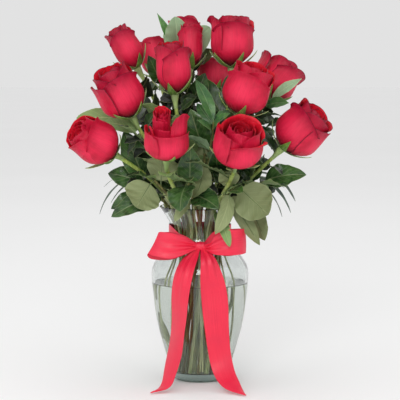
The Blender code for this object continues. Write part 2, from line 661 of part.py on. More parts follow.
def leaf_piece(leaf, spare=0.0):
    """A leaf on its stalk. A spare amount makes it that much wider and thicker, to test the room round it."""
    kind = KINDS[leaf.kind]
    along, across, up = leaf_frame(leaf)
    toward = (leaf.base - leaf.root).normalized()
    side = toward.cross(up).normalized()
    lift = side.cross(toward)
    stations = [station(leaf.root, side, lift, STALK + spare, STALK + spare)]
    for t in kind.stations:
        middle, left, right = (leaf_point(leaf, s, t) for s in (0, -1, 1))
        rib = kind.rib / 2 * (1.15 - 0.5 * t) + spare
        left, right = left - across * spare, right + across * spare
        stations.append((left, middle + up * rib, right, middle - up * rib))
    return blade(stations, leaf_point(leaf, 0, 1.0) + along * spare)


def leaf_tries(kind, root, plan, seed):
    """The planned leaf, then others swung further and further from it, in a fixed order."""
    draw = random.Random(seed)
    reach = Vector(plan.tip) - root
    for i in range(LEAF_TRIES):
        swing = math.radians(60) * (i / LEAF_TRIES) ** 0.7
        turn = Matrix.Rotation(draw.uniform(-swing, swing), 3, "Z")
        tilt = Matrix.Rotation(draw.uniform(-swing, swing), 3, reach.orthogonal().normalized())
        far = root + (tilt @ turn @ reach) * (1 - 0.25 * draw.random() * i / LEAF_TRIES)
        toward = (far - root).normalized()
        base = root + (toward + Vector((0, 0, 0.25))).normalized() * KINDS[kind].stalk
        roll = math.radians(plan.roll) + draw.uniform(-swing, swing)
        yield Leaf(kind, root, base, far, plan.width, roll, plan.face, draw.random())


def frond_tries(rose, stem, number):
    """Rose leaves of three leaflets each, at a place along the stem, in a fixed order of tries."""
    draw = random.Random(f"{rose.name} frond {number}")
    for i in range(FROND_TRIES):
        root = along_stem(stem, 0.40 + 0.22 * number + draw.uniform(-0.14, 0.16))
        heading = math.atan2(stem.path[-1].y, stem.path[-1].x) + draw.uniform(-2.6, 2.6)
        out = Vector((math.cos(heading), math.sin(heading), draw.uniform(-0.1, 1.0))).normalized()
        yield root, out, draw.uniform(-0.5, 0.5), 1 - 0.3 * i / FROND_TRIES


def frond_frame(out, roll):
    across = out.cross(Vector((0, 0, 1))).normalized()
    up = Matrix.Rotation(roll, 3, out) @ across.cross(out)
    return out.cross(up), up


def frond_piece(root, out, roll, size, spare=0.0):
    """A rose leaf as one thin arched blade, cut in to its rib between the side leaflets and the end one."""
    across, up = frond_frame(out, roll)
    rib = FROND_RIB / 2 + spare
    stations = [station(root, across, up, STALK + spare, STALK + spare)]
    for reach, edge, half, lift, droop in FROND:
        middle = root + (out * reach + up * lift) * size
        flank, span = root + (out * edge + up * (lift - droop)) * size, across * (half * size + spare)
        stations.append((flank - span, middle + up * rib, flank + span, middle - up * rib))
    tip = root + (out * FROND_LENGTH - up * FROND_DROP) * size + out * spare
    return blade(stations, tip)


def sepal_tries(rose, k):
    """Sepals that lie under the bloom, then ones that stand further off it."""
    place, angle = bloom_place(rose), turn_of(rose, 72 * k + 20)
    for i in range(LEAF_TRIES):
        off = 0.0022 + 0.0006 * i
        draw = random.Random(f"{rose.name} sepal {k}")
        length = 0.38 + 0.12 * draw.random() - 0.003 * i
        yield place, angle, off, length


def sepal_piece(rose, place, angle, off, length, spare=0.0):
    across = Vector((-math.sin(angle), math.cos(angle), 0))
    out = Vector((math.cos(angle), math.sin(angle), 0))
    stations = []
    spine = [(HIP_RADIUS * 0.60, -0.0026)]
    for share in (0.16, 0.60):
        rise = share * length
        radius = rose.radius * 1.08 * belly(rise) + off * (0.6 + share)
        spine.append((radius, rose.height * rise * 0.9 - 0.0010))
    tip = (rose.radius * 1.12 + off * 2.2, rose.height * length * 0.9)
    widths = (0.30, 1.0, 0.66)
    for i, (radius, height) in enumerate(spine):
        ahead = spine[i + 1] if i + 1 < len(spine) else tip
        back = spine[max(i - 1, 0)]
        along = (out * (ahead[0] - back[0]) + Vector((0, 0, ahead[1] - back[1]))).normalized()
        up = across.cross(along)
        half, rib = SEPAL_WIDTH / 2 * widths[i] + spare, SEPAL_THICKNESS / 2 + spare
        stations.append(station(out * radius + Vector((0, 0, height)), across, up, half, rib))
    points, faces = blade(stations, out * tip[0] + Vector((0, 0, tip[1])))
    return [place @ p for p in points], faces


# Ribbon


def span_faces(a, b):
    """Faces between two stations of a strip, with both broad sides split along the same diagonal."""
    broad = [(a, b, b + 1), (a, b + 1, a + 1), (a + 2, b + 2, a + 3), (b + 2, b + 3, a + 3)]
    edges = [(a + 1, b + 1, b + 2), (a + 1, b + 2, a + 2), (a + 3, b + 3, b), (a + 3, b, a)]
    return broad + edges


def strip(edges, tip=None):
    """A closed band of cloth through pairs of edge points, square at its ends or brought to a point."""
    points = []
    for i, (left, right) in enumerate(edges):
        left, right = Vector(left), Vector(right)
        before = edges[max(i - 1, 0)]
        after = edges[min(i + 1, len(edges) - 1)]
        along = Vector(after[0]) + Vector(after[1]) - Vector(before[0]) - Vector(before[1])
        face = along.cross(right - left).normalized() * RIBBON_THICKNESS / 2
        points += [left + face, right + face, right - face, left - face]
    last = (len(edges) - 1) * 4
    faces = [(0, 1, 2, 3)]
    for a in range(0, last, 4):
        b = a + 4
        faces += span_faces(a, b)
    if tip is None:
        faces.append((last + 3, last + 2, last + 1, last))
    else:
        points.append(Vector(tip))
        faces += [(last + k, len(points) - 1, last + (k + 1) % 4) for k in range(4)]
    return points, faces


def band_edges():
    """The band round the neck, from the knot right round to it again, narrow at the knot."""
    edges = []
    for i in range(BAND_STEPS + 1):
        turn = 2 * math.pi * i / BAND_STEPS - math.pi / 2
        front = smooth_step(1 - abs(abs(turn - math.pi / 2) - math.pi) / 1.1)
        width = BAND_WIDTH * (1 - front) + BAND_PINCH * front
        middle = BAND_HEIGHT * (1 - front) + (KNOT.z + 0.001) * front
        reach = max(vase_radius(middle + share * width / 2) for share in (-1, 0, 1))
        radius = reach + RIBBON_THICKNESS / 2 + 2 * GAP + 0.002 * front
        flat = Vector((math.cos(turn), math.sin(turn), 0)) * radius / math.cos(math.pi / BAND_STEPS)
        edges.append((flat + Vector((0, 0, middle - width / 2)), flat + Vector((0, 0, middle + width / 2))))
    return edges


def knot_piece():
    profile = ((0, -1.0), (0.62, -0.86), (1.0, -0.3), (1.0, 0.35), (0.6, 0.88), (0, 1.0))
    points, faces = turned(profile, KNOT_SIDES)
    return [KNOT + p * Vector(KNOT_HALF) for p in points], faces


def closed_band(edges):
    """A band whose last pair of edge points is its first again."""
    points, faces = strip(edges[:-1])
    faces = faces[1:-1]
    a, b = (len(edges) - 2) * 4, 0
    return points, faces + span_faces(a, b)


def ribbon(material):
    pieces = [knot_piece(), closed_band(band_edges())]
    pieces += [strip(LOOPS[side]) for side in ("left", "right")]
    pieces += [strip(TAILS[side], TAIL_TIPS[side]) for side in ("left", "right")]
    return fused("ribbon", pieces, material)


def piece_of(made):
    mesh = made.data
    return [made.matrix_world @ v.co for v in mesh.vertices], [tuple(p.vertices) for p in mesh.polygons]


def main():
    for old in list(bpy.data.objects):
        bpy.data.objects.remove(old)
    glass = made_material("vase_glass", (0.80, 0.88, 0.86), 0.05, 0.35)
    clear = made_material("clear_water", (0.78, 0.88, 0.86), 0.05, 0.45)
    satin = made_material("red_satin", (0.80, 0.04, 0.09), 0.35)
    petal = made_material("red_petals", (0.50, 0.01, 0.03), 0.60)
    green = made_material("rose_green", (0.13, 0.26, 0.06), 0.60)
    greens = {
        "salal": made_material("salal_green", (0.10, 0.17, 0.06), 0.45),
        "ruscus": made_material("ruscus_green", (0.12, 0.24, 0.09), 0.50),
        "narrow": made_material("narrow_leaf_green", (0.13, 0.19, 0.13), 0.60),
    }

    solid = [vase(glass), ribbon(satin)]
    solid += [bloom(rose, petal) for rose in ROSES]
    trees = [tree_of(piece_of(made)) for made in solid]
    rose_stems = [stem_of(STEM_RADIUS, rose.ring, rose.place, stem_head(rose), rose.facing) for rose in ROSES]
    spray_stems = [stem_of(s.radius, s.ring, s.place, s.head, s.facing) for s in SPRAYS]
    water(clear, rose_stems + spray_stems)

    bodies = {rose.name: [stem_piece(stem), hip_piece(rose)] for rose, stem in zip(ROSES, rose_stems)}
    bodies.update({spray.name: [stem_piece(stem)] for spray, stem in zip(SPRAYS, spray_stems)})
    own = {name: [tree_of(piece) for piece in pieces] for name, pieces in bodies.items()}

    def others(name):
        return trees + [tree for other, mine in own.items() if other != name for tree in mine]

    def grow(name, pieces):
        bodies[name] += pieces
        own[name] += [tree_of(piece) for piece in pieces]

    for rose in ROSES:
        for k in range(SEPALS):
            for sepal in sepal_tries(rose, k):
                if is_clear([sepal_piece(rose, *sepal, GAP)], others(rose.name)):
                    grow(rose.name, [sepal_piece(rose, *sepal)])
                    break
    for spray, stem in zip(SPRAYS, spray_stems):
        for number, plan in enumerate(spray.leaves):
            seed = f"{spray.name} {number}"
            for leaf in leaf_tries(spray.kind, along_stem(stem, plan.at), plan, seed):
                if is_clear([leaf_piece(leaf, 2 * GAP)], others(spray.name) + own[spray.name][1:]):
                    grow(spray.name, [leaf_piece(leaf)])
                    break
            else:
                print("left out", seed)
    for rose, stem in zip(ROSES, rose_stems):
        for number in range(rose.fronds):
            for frond in frond_tries(rose, stem, number):
                if is_clear([frond_piece(*frond, 2 * GAP)], others(rose.name) + own[rose.name][1:]):
                    grow(rose.name, [frond_piece(*frond)])
                    break
            else:
                print("left out", rose.name, number)

    for rose in ROSES:
        fused("stem_" + rose.name, bodies[rose.name], green)
    for spray in SPRAYS:
        fused(spray.name, bodies[spray.name], greens[spray.kind])


main()
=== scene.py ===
"""Red roses with leafy filler stems in a clear glass vase of water, tied with a satin bow: the fine surfaces.

Metres, +Z up. The origin is the centre of the vase's foot, and the bow faces -Y.
"""

import math
import random
from collections import namedtuple
from functools import partial

import bpy
import numpy as np
from mathutils import Matrix, Vector
from mathutils.bvhtree import BVHTree
from mathutils.kdtree import KDTree


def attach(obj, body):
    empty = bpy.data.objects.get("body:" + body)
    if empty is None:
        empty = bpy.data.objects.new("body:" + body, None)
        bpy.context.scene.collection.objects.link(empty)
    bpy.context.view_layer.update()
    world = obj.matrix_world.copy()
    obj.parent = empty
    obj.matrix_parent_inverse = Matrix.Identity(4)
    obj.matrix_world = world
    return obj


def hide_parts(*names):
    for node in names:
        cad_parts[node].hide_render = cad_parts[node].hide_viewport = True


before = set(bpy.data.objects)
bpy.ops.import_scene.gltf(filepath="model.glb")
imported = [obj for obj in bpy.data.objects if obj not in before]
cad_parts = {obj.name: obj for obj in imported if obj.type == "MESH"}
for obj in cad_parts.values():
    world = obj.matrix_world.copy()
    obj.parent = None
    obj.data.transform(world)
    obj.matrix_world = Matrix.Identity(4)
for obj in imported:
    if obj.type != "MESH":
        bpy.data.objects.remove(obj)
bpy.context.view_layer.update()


def metres(*lengths):
    """Lengths in metres, from the tables of stems, blooms and leaves, which are in millimetres."""
    return tuple(length / 1000 for length in lengths)


# The air between parts, how near a leaf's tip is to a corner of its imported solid, and the least length to
# divide by
GAP = 0.0003
TIP_MATCH = 0.00005
TINY = 1e-12

# Edges sharper than these many degrees stay sharp, on plants and on glass. A sheet is thinner by a share at
# its edge.
SHARP = 50
GLASS_SHARP = 60
EDGE_SHARE = 0.5

# Vase: radius and height along its outer outline, from the foot to the rim
VASE_HEIGHT = 0.235
VASE_OUTLINE = (
    (0.0350, 0.0000), (0.0388, 0.0070), (0.0462, 0.0340), (0.0572, 0.0740), (0.0630, 0.1120),
    (0.0654, 0.1410), (0.0632, 0.1550), (0.0560, 0.1670), (0.0455, 0.1785), (0.0382, 0.1900),
    (0.0370, 0.2000), (0.0402, 0.2110), (0.0468, 0.2230), (0.0548, VASE_HEIGHT),
)
VASE_WALL = 0.0032
VASE_FLOOR = 0.0120
VASE_SIDES = 128
VASE_STEPS = 5
VASE_DISH = 0.0012
VASE_FOOT = ((0.0, VASE_DISH), (0.0240, VASE_DISH), (0.0290, 0.0), (0.0335, 0.0))
RIM_BEVEL = 0.0005
WATER_LEVEL = 0.1310
MENISCUS = 0.0014
INTO_GLASS = 0.0004

# Stem bundle: three rings of places, each a straight line from the vase's floor to its neck, all twisted
# alike
FOOT_HEIGHT = VASE_FLOOR + GAP
NECK_HEIGHT = 0.2000
BUNDLE_TWIST = math.radians(50)
Ring = namedtuple("Ring", "places foot_radius neck_radius")
RINGS = {
    "inner": Ring(4, 0.0080, 0.0080),
    "middle": Ring(8, 0.0172, 0.0176),
    "outer": Ring(16, 0.0262, 0.0282),
}
# How far a stem goes on straight from the neck, and comes straight to its head, as shares of the way
# between them
BEND_LOW = 0.34
BEND_HIGH = 0.38

# Roses: the middle of each bloom and the way that it faces, its size, how far it has opened, from 0 to 1,
# how far its first petal is turned to the right of its front in degrees, its outer petals' share of its
# height, its stem's ring and place, and its count of leaves
Rose = namedtuple("Rose", "name middle facing height radius open turn guard ring place fronds")
ROSES = tuple(
    Rose(name, metres(*middle), facing, height / 1000, radius / 1000, *rest)
    for name, middle, facing, height, radius, *rest in (
        ("top_left", (-100, -10, 448), (-0.5, -0.12, 0.86), 60, 21.2, 0.2, 12, 0.94, "middle", 4, 1),
        ("back_left", (-63, 52, 434), (-0.25, 0.35, 0.9), 52, 21, 0.3, 20, 0.93, "middle", 3, 1),
        ("top_bud", (-13, 12, 450), (0.04, 0.04, 1), 58, 17.5, 0, -10, 0.93, "inner", 2, 1),
        ("upper_left", (-36, -48, 420.5), (-0.08, -0.14, 1), 66, 23.5, 0.1, 38, 0.93, "inner", 3, 2),
        ("left", (-104, -60, 389), (-0.42, -0.28, 0.86), 70, 29, 0.18, 18, 0.9, "middle", 5, 2),
        ("top_right", (43, 0, 456), (0.02, -0.06, 1), 66, 28.5, 0.3, 6, 0.93, "inner", 0, 2),
        ("back_right", (105, 32, 402), (0.5, 0.25, 0.83), 60, 26, 0.45, 40, 0.93, "outer", 1, 2),
        ("right_front", (61, -76, 392), (0.32, -0.24, 0.9), 66, 31, 0.15, -14, 0.93, "middle", 7, 2),
        ("back_centre", (18, 92, 401), (0.06, 0.5, 0.86), 56, 25, 0.45, 0, 0.93, "middle", 2, 1),
        ("far_left", (-137, -65, 324), (-0.72, -0.5, 0.48), 62, 30, 0.12, 30, 0.93, "outer", 9, 1),
        ("front_left", (-42, -112, 335), (0.02, -0.46, 0.89), 64, 27.2, 0.6, 0, 0.68, "outer", 11, 2),
        ("front_right", (49, -117, 324), (0.1, -0.66, 0.75), 58, 31, 0.55, -38, 0.84, "outer", 13, 2),
        ("far_right", (132, -48, 340), (0.66, -0.26, 0.7), 68, 31.5, 0.15, -22, 0.93, "outer", 15, 1),
        ("top_back", (-22, 81, 460), (-0.06, 0.26, 0.96), 58, 24, 0.3, 0, 0.93, "inner", 1, 1),
    )
)

# Petals: the shares of a bloom's height where it is widest and curls out, and where a petal's rim starts to
# roll back
FOOT_SHARE = 0.24
WIDEST = 0.42
LIP = 0.66
ROLL_START = 0.80
PETAL_SHEET = 0.0006
PETAL_COLUMNS = 25
PETAL_ROWS = 18
PETAL_COUNT = 10
HEART_COLUMNS = 84
HEART_ROWS = 9
HEART_TURNS = 2.6
HEART_TONE = 0.2
GOLDEN_ANGLE = 137.5

# One petal: its turn from the bloom's front and half its spread in degrees, its shares of the bloom's
# radius and height, how it closes and flares at the top, how far its sides drop, and how much its rim rolls
# back
Petal = namedtuple("Petal", "turn half reach height close flare drop roll")

# Petals outside the regular ones: a torn guard petal, and the low cup round the tall heart of the bloom
# front left
SPECIAL_PETALS = {
    "left": (Petal(-68, 46, 1.07, 0.84, 0.05, 0.05, 0.06, 0.1),),
    "top_right": (Petal(-62, 34, 1.01, 1.02, 0.06, 0.05, 0.08, 1.0),),
    "far_right": (Petal(62, 46, 1.05, 0.86, 0.10, 0.02, 0.05, 0.1),),
    "far_left": (
        Petal(-25, 70, 0.93, 1.03, 0.52, 0.00, 0.08, 0.0),
        Petal(-100, 60, 0.86, 1.03, 0.44, 0.00, 0.06, 0.0),
        Petal(120, 60, 0.78, 1.03, 0.40, 0.00, 0.06, 0.0),
    ),
    "front_left": (
        Petal(8, 80, 1.02, 0.70, 0.06, 0.08, 0.05, 0.2),
        Petal(-70, 52, 1.06, 0.70, 0.06, 0.06, 0.10, 0.1),
        Petal(176, 80, 0.98, 0.46, 0.04, 0.10, 0.10, 0.3),
        Petal(-50, 15, 0.86, 0.88, 0.00, 0.16, 0.40, 0.5),
        Petal(48, 36, 0.92, 1.15, 0.03, 0.08, 0.14, 0.3),
        Petal(-14, 62, 0.72, 0.78, 0.06, 0.04, 0.06, 0.2),
    ),
    "front_right": (Petal(-70, 45, 1.05, 0.96, 0.10, 0.03, 0.04, 0.1),),
    "back_right": (Petal(-80, 40, 1.44, 0.93, 0.16, 0.14, 0.10, 0.5),),
}

# Where a bloom's regular petals differ: how far they are turned on, their size, and where they stand off
# the foot
Core = namedtuple("Core", "turn size shift")
BLOOM_CORE = {
    "front_left": Core(-20, 0.43, (-0.0070, 0.0020, 0.0030)),
    "front_right": Core(68, 1.0, (0, 0, 0)),
    "top_left": Core(0, 0.93, (0.0020, 0.0, -0.0020)),
}
PLAIN_CORE = Core(0, 1.0, (0, 0, 0))
SMALL_CORE = 0.6

# How far the front of a bloom's rim is pressed in
PRESSED = {"front_right": 0.34, "far_left": 0.24}

# How dark a bloom's petal rims are
DARK_RIMS = {
    "top_left": 1.0, "left": 0.9, "far_right": 1.0, "back_right": 0.9, "back_left": 0.5, "upper_left": 0.8,
    "top_bud": 0.5, "top_right": 0.8, "top_back": 0.6, "back_centre": 0.6, "right_front": 0.2,
    "far_left": 0.1, "front_left": 0.15, "front_right": 0.25,
}

# Rose stems, the hips that the blooms stand on, and their sepals
STEM_RADIUS = 0.0026
STEM_STEPS = 6
STEM_RUNS = 30
HIP_RADIUS = 0.0054
HIP_LENGTH = 0.0110
SEPALS = 5
SEPAL_WIDTH = 0.0092
SEPAL_ROWS = 16
SEPAL_COLUMNS = 7
SEPAL_TURN = 20
# How far a sepal's middle stands off the bloom and which share of the bloom it covers, at the first try and
# at each next one
SEPAL_OFF, SEPAL_OFF_STEP = 0.0022, 0.0006
SEPAL_SHARE, SEPAL_MORE, SEPAL_LESS = 0.38, 0.12, 0.003
THORN_LENGTH = 0.0034
THORN_SPACING = 0.021
THORN_LOWEST = 0.262
THORNS = (THORN_LENGTH, THORN_SPACING, THORN_LOWEST)
NO_THORNS = (0.001, 0.05, 1.0)
THORN_FOOT = 0.0013
THORN_SIDES = 6
THORN_LEAN = math.radians(108)
STEM_SIDES = 12
STEM_UNEVEN = (0.86, 1.14)
STEM_INPUTS = {
    "Radius": "Float", "Thorn Length": "Float", "Thorn Spacing": "Float", "Lowest Thorn": "Float",
    "Seed": "Int", "Material": "Material",
}
# A hip's outline from its foot to the bloom: shares of its length and of its radius
HIP_OUTLINE = ((-1.9, 0.50), (-1.2, 0.62), (-0.7, 0.84), (-0.2, 1.04), (0.0, 1.00))
HIP_ROWS = 14
HIP_SIDES = 16
CALYX_TONE = 0.1

# Leaf kinds: how far a blade is from its stem, its outline's two powers, its arch and fold, its count of
# teeth, and how deep they are
Kind = namedtuple("Kind", "stalk near far arch fold teeth bite")
KINDS = {
    "salal": Kind(0.010, 0.50, 0.80, 0.10, 0.16, 22, 0.025),
    "ruscus": Kind(0.002, 0.80, 1.05, 0.10, 0.20, 0, 0.0),
    "narrow": Kind(0.002, 0.40, 0.70, 0.16, 0.10, 0, 0.0),
    "rose": Kind(0.005, 0.60, 0.85, 0.08, 0.22, 15, 0.08),
    "round": Kind(0.005, 0.42, 0.56, 0.12, 0.16, 0, 0.0),
    "stalked": Kind(0.042, 0.45, 0.62, 0.10, 0.16, 13, 0.05),
    "leaflet": Kind(0.0, 0.55, 0.80, 0.07, 0.20, 15, 0.10),
}
# Planned leaves that are broader at both ends than their kind, and ones whose pale side is to the front
FULLER_LEAVES = {"ruscus_top": (1, 2)}
FULLER_WIDTH = 1.4
PALE_LEAVES = {"ruscus_top": (1, 2), "ruscus_right": (0,), "salal_front_right": (1,)}
STALK = 0.0009
STALK_SIDES = 6
BLADE = (30, 13)
FILL_BLADE = (21, 9)
LEAFLET_BLADE = (38, 9)
LEAF_SHEET = 0.0005
SEPAL_SHEET = LEAF_SHEET * 1.4
LEAF_TRIES = 48
LEAF_SWING = math.radians(60)

# Bare stalks that stand beside the bundle in the vase: the angle of each, how far round it twists, both in
# degrees, and the share of the vase's inner radius that it reaches at its middle
BARE_STALKS = (
    (-168, -30, 0.86), (168, 24, 0.76), (150, -36, 0.90), (-14, 34, 0.84), (14, -26, 0.60), (40, 40, 0.92),
    (-40, 22, 0.60), (-142, -26, 0.58), (-100, 18, 0.52), (-70, -20, 0.50), (75, 30, 0.60), (110, -28, 0.62),
)
# Their height, how far from the axis they stand, how far they bow out at most, their thickness, and the air
# between them and the glass as they are drawn and once they are smoothed
STALK_TOP = 0.2360
STALK_STAND = 0.026
STALK_BOW = 0.058
BARE_RADIUS = 0.0012
BARE_AIR = (0.0022, 0.0020)
BARE_PLACES = 5
BARE_STEPS = 8

# Leafy stems: a stem's head and the way that it faces, then where each leaf leaves it, the x, y and z of
# the leaf's tip, its width, and for some the way that its upper face looks and how far it is rolled in
# degrees
Spray = namedtuple("Spray", "name kind radius ring place head facing leaves")
LeafPlan = namedtuple("LeafPlan", "at tip width face roll")


def planned(at, x, y, z, width, face=None, roll=0):
    return LeafPlan(at, metres(x, y, z), width / 1000, face, roll)


SPRAYS = tuple(
    Spray(name, kind, radius / 1000, ring, place, metres(*head), facing, [planned(*row) for row in rows])
    for name, kind, radius, ring, place, head, facing, rows in (
        ("narrow_left", "narrow", 1.3, "outer", 7, (-72, 4, 280), (-0.8, -0.1, 0.4), (
            (1, -134, -22, 226, 6), (0.92, -132, 4, 262, 7), (0.84, -122, 26, 236, 7),
        )),
        ("narrow_right", "narrow", 1.3, "outer", 2, (70, 24, 280), (0.8, 0.2, 0.4), (
            (1, 128, -10, 242, 10), (0.92, 121, -24, 228, 9), (0.84, 113, 40, 216, 7),
            (0.76, 126, 34, 262, 7),
        )),
        ("salal_front_left", "salal", 1.9, "outer", 10, (-60, -56, 274), (-0.6, -0.4, 0.7), (
            (1, -82, -88, 241, 50, (-0.2, 1, -0.2)), (0.86, -50, -78, 308, 44, (0.2, 1, 0)),
            (0.7, -116, -60, 226, 34, (-0.3, -1, 0.6)),
        )),
        ("salal_front_right", "salal", 1.9, "outer", 14, (46, -54, 266), (0.5, -0.5, 0.7), (
            (1, 88, -92, 232, 52, (0.1, 1, -0.2)), (0.92, 44, -94, 206, 24, (0.3, -1, 0.4)),
            (0.84, 37, -82, 288, 28, (0, 1, 0.1)), (0.76, 78, -70, 190, 20, (0.2, 1, -0.3)),
        )),
        ("salal_front", "salal", 1.9, "outer", 12, (-16, -62, 272), (-0.1, -0.6, 0.8), (
            (1, -42, -96, 234, 40, (-0.2, -1, 0.5)), (0.86, -12, -74, 318, 34, (0, -1, 0.3)),
            (0.72, 24, -94, 240, 34, (0.1, -1, 0.5)),
        )),
        ("salal_left", "salal", 1.9, "outer", 8, (-74, -18, 268), (-0.7, -0.1, 0.7), (
            (1, -96, -34, 338, 36, (0.3, -1, 0.2)), (0.9, -117, -34, 290, 32, (-0.3, -1, 0.4)),
            (0.8, -110, 25, 270, 40, None, -30), (0.72, -118, -30, 236, 32, (-0.2, -1, 0.8)),
            (0.62, -112, 16, 232, 40),
        )),
        ("salal_right", "salal", 1.9, "outer", 0, (78, -12, 266), (0.7, -0.1, 0.7), (
            (1, 141, -30, 279, 34, (0, -1, 0.7)), (0.9, 86, -46, 324, 34, (0, -1, 0.3)),
            (0.8, 108, 34, 302, 46), (0.7, 86, -34, 192, 28, (0.3, 1, 0)),
        )),
        ("salal_centre", "salal", 1.9, "middle", 0, (6, -40, 308), (0, -0.3, 1), (
            (1, -4, -68, 366, 34, (0, -1, 0.2)), (0.84, -36, -50, 340, 40), (0.7, 46, -44, 330, 40),
            (0.9, -12, -84, 262, 28, (0.1, 1, 0)),
        )),
        ("salal_back_right", "salal", 1.9, "outer", 3, (40, 68, 268), (0.4, 0.6, 0.7), (
            (1, 60, 128, 282, 46), (0.86, 12, 98, 322, 42), (0.72, 96, 80, 246, 44), (0.6, 30, 108, 220, 42),
        )),
        ("salal_back_left", "salal", 1.9, "outer", 6, (-54, 56, 268), (-0.5, 0.5, 0.7), (
            (1, -98, 96, 286, 46), (0.86, -30, 98, 320, 42), (0.72, -108, 50, 240, 42),
            (0.6, -44, 106, 226, 42),
        )),
        ("ruscus_top", "ruscus", 1.4, "outer", 5, (-34, 42, 446), (-0.1, 0, 1), (
            (1, -58, 26, 494, 11, (0, -1, 0.3)), (0.98, -40, 32, 491, 25, (0.2, -1, 0.2)),
            (0.95, 10, 44, 480, 26, (0, -1, 0.2)), (0.86, -86, 36, 405, 22), (0.8, -24, 36, 420, 22),
            (0.72, -48, 100, 388, 22), (0.62, -88, 30, 360, 22), (0.54, 6, 52, 358, 22),
            (0.46, -60, 70, 330, 22),
        )),
        ("ruscus_right", "ruscus", 1.4, "middle", 1, (95, -2, 378), (0.7, -0.1, 0.7), (
            (1, 136, -4, 406, 14, (0, -1, 0.5)), (0.95, 118, -22, 374, 18, (0, -1, 0.5)),
            (0.88, 92, -40, 386, 20), (0.82, 108, 44, 352, 22), (0.74, 74, -38, 350, 22),
            (0.66, 52, 44, 360, 22), (0.58, 84, 40, 320, 22), (0.5, 66, -20, 312, 22),
        )),
        ("ruscus_front", "ruscus", 1.4, "middle", 6, (18, -58, 350), (0.1, -0.3, 0.9), (
            (1, -6, -30, 405, 18, (0.2, -1, 0.5)), (0.94, 41, -74, 370, 14, (0, -1, 0.6)),
            (0.9, -4, -90, 354, 12, (0, -1, 0.6)), (0.84, 38, -70, 351, 12, (0, -1, 0.6)),
            (0.76, -24, -80, 330, 20), (0.68, 46, -62, 318, 20),
        )),
    )
)

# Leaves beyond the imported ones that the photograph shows: the stem that they grow on, their kind and their
# plans
EXTRA_LEAVES = {
    "left": ("round", ((0.9, -126, -12, 345, 20, (0, -1, 0.4)),)),
    "top_left": ("stalked", ((0.62, -166, 2, 353, 28, (0, -1, 0.3)),)),
    "back_left": ("rose", ((0.95, -66, 18, 438, 22, (0.3, -1, 0.2)),)),
    "top_right": ("rose", (
        (0.86, 46, 0, 424, 15, (-0.6, -1, 0)), (0.7, -6, 36, 411, 29, (0.2, -1, 0.2)),
        (0.78, 22, 30, 413, 20, (-0.2, -1, 0.2)),
    )),
    "top_bud": ("rose", ((0.8, -28, 24, 416, 28, (0, -1, 0.2)), (0.66, -46, 20, 392, 30, (0, -1, 0.2)))),
    "back_right": ("salal", (
        (0.66, 94, -4, 352, 32, (0.2, -1, 0.3)), (0.84, 90, 20, 362, 30, (0.2, -1, 0.3)),
    )),
    "right_front": ("salal", (
        (0.5, 84, -64, 326, 26, (0.2, -1, 0.2)), (0.72, 88, -40, 350, 26, (0.2, -1, 0.2)),
    )),
    "salal_front": ("round", ((0.72, -33, -80, 222, 14, (0, -1, 0.3)),)),
    "salal_front_right": ("round", (
        (0.6, 37, -86, 226, 14, (0, -1, 0.3)), (0.72, 47, -92, 236, 14, (0.2, -1, 0.3)),
    )),
    "front_left": ("round", ((0.8, -11, -100, 262, 24, (0, -1, 0.2)),)),
    "front_right": ("round", ((0.3, 52, -98, 216, 16, (0, -1, 0.4)),)),
    "ruscus_top": ("round", ((0.97, -14, 42, 490, 26, (-0.2, -1, 0.3)),)),
    "ruscus_front": ("ruscus", (
        (0.98, 40, -52, 366, 13, (0, -0.6, 1)), (0.97, -6, -50, 380, 16, (0, -1, 0.2)),
    )),
}
PALE_KINDS = ("round", "stalked")
EXTRA_TONE = {True: 0.9, False: -0.1}

# Where leaves that only fill the bunch may stand: at each height, the left, right, front and back ends of
# the room
FILL_ROOM = np.array((
    (240, -98, 100, -50, 100),
    (300, -102, 118, -60, 110),
    (350, -104, 126, -60, 110),
    (390, -94, 116, -55, 105),
    (425, -70, 90, -40, 95),
    (470, -42, 30, -10, 80),
)) / 1000
FILL_LOWEST = 0.244
FILL_SPACING = 0.0055
FILL_HANG = 0.014
FILL_TRIES = 50
# How far such a leaf may swing round its stem in degrees and lean along it, how many stalks' length it is
# off it, and its least and greatest length, width's share and tone. Their tone is below zero: painted shade,
# as they stand deep in the bunch
FILL_SWING = 70
FILL_LEAN = (-0.1, 0.9)
FILL_OFF = (1.0, 2.2)
FILL_LENGTH = (0.030, 0.060)
FILL_WIDTH = (0.44, 0.60)
FILL_PAINTED_SHADE = (-1.15, -0.25)
# How far off its middle surface a leaf needs room, and how near another leaf has to be for the two to be
# compared
LEAF_AIR = 0.0008
NEAR_LEAF = 0.07

# Rose leaf: its full length and drop, then each leaflet's place on the rib, its heading, length and width
FROND_LENGTH = 0.0740
FROND_DROP = 0.0040
FROND_TRIES = 60
FROND_RIB = (0, 0.008, 0.016, 0.025, 0.034)
FROND_FIRST = 0.40
FROND_APART = 0.22
# How far its tries are from there along the stem, how far they swing round it, rise and roll, and how much
# smaller they become
FROND_SHIFT = (-0.14, 0.16)
FROND_SWING = 2.6
FROND_RISE = (-0.1, 1.0)
FROND_ROLL = 0.5
FROND_LESS = 0.3
Leaflet = namedtuple("Leaflet", "at side ahead length width")
LEAFLETS = (
    Leaflet(0.0130, -1, 0.020, 0.0300, 0.0170),
    Leaflet(0.0130, 1, 0.020, 0.0300, 0.0170),
    Leaflet(0.0330, 0, 1.0, 0.0400, 0.0250),
)

# Ribbon: its flat width and length, and for each tail and loop its left and right edges as x, y, z, from
# the knot
RIBBON_SHEET = 0.0004
KNOT = Vector((0.0005, -0.0500, 0.1860))
KNOT_HALF = (0.0066, 0.0056, 0.0062)
KNOT_ROWS = 33
KNOT_COLUMNS = 15
BAND_WIDTH = 0.024
BAND_PINCH = 0.007
BAND_HEIGHT = 0.1985
BAND_STEPS = 20
BAND_SPANS = 4
BAND_COLUMNS = 9
CLOTH_COLUMNS = 17
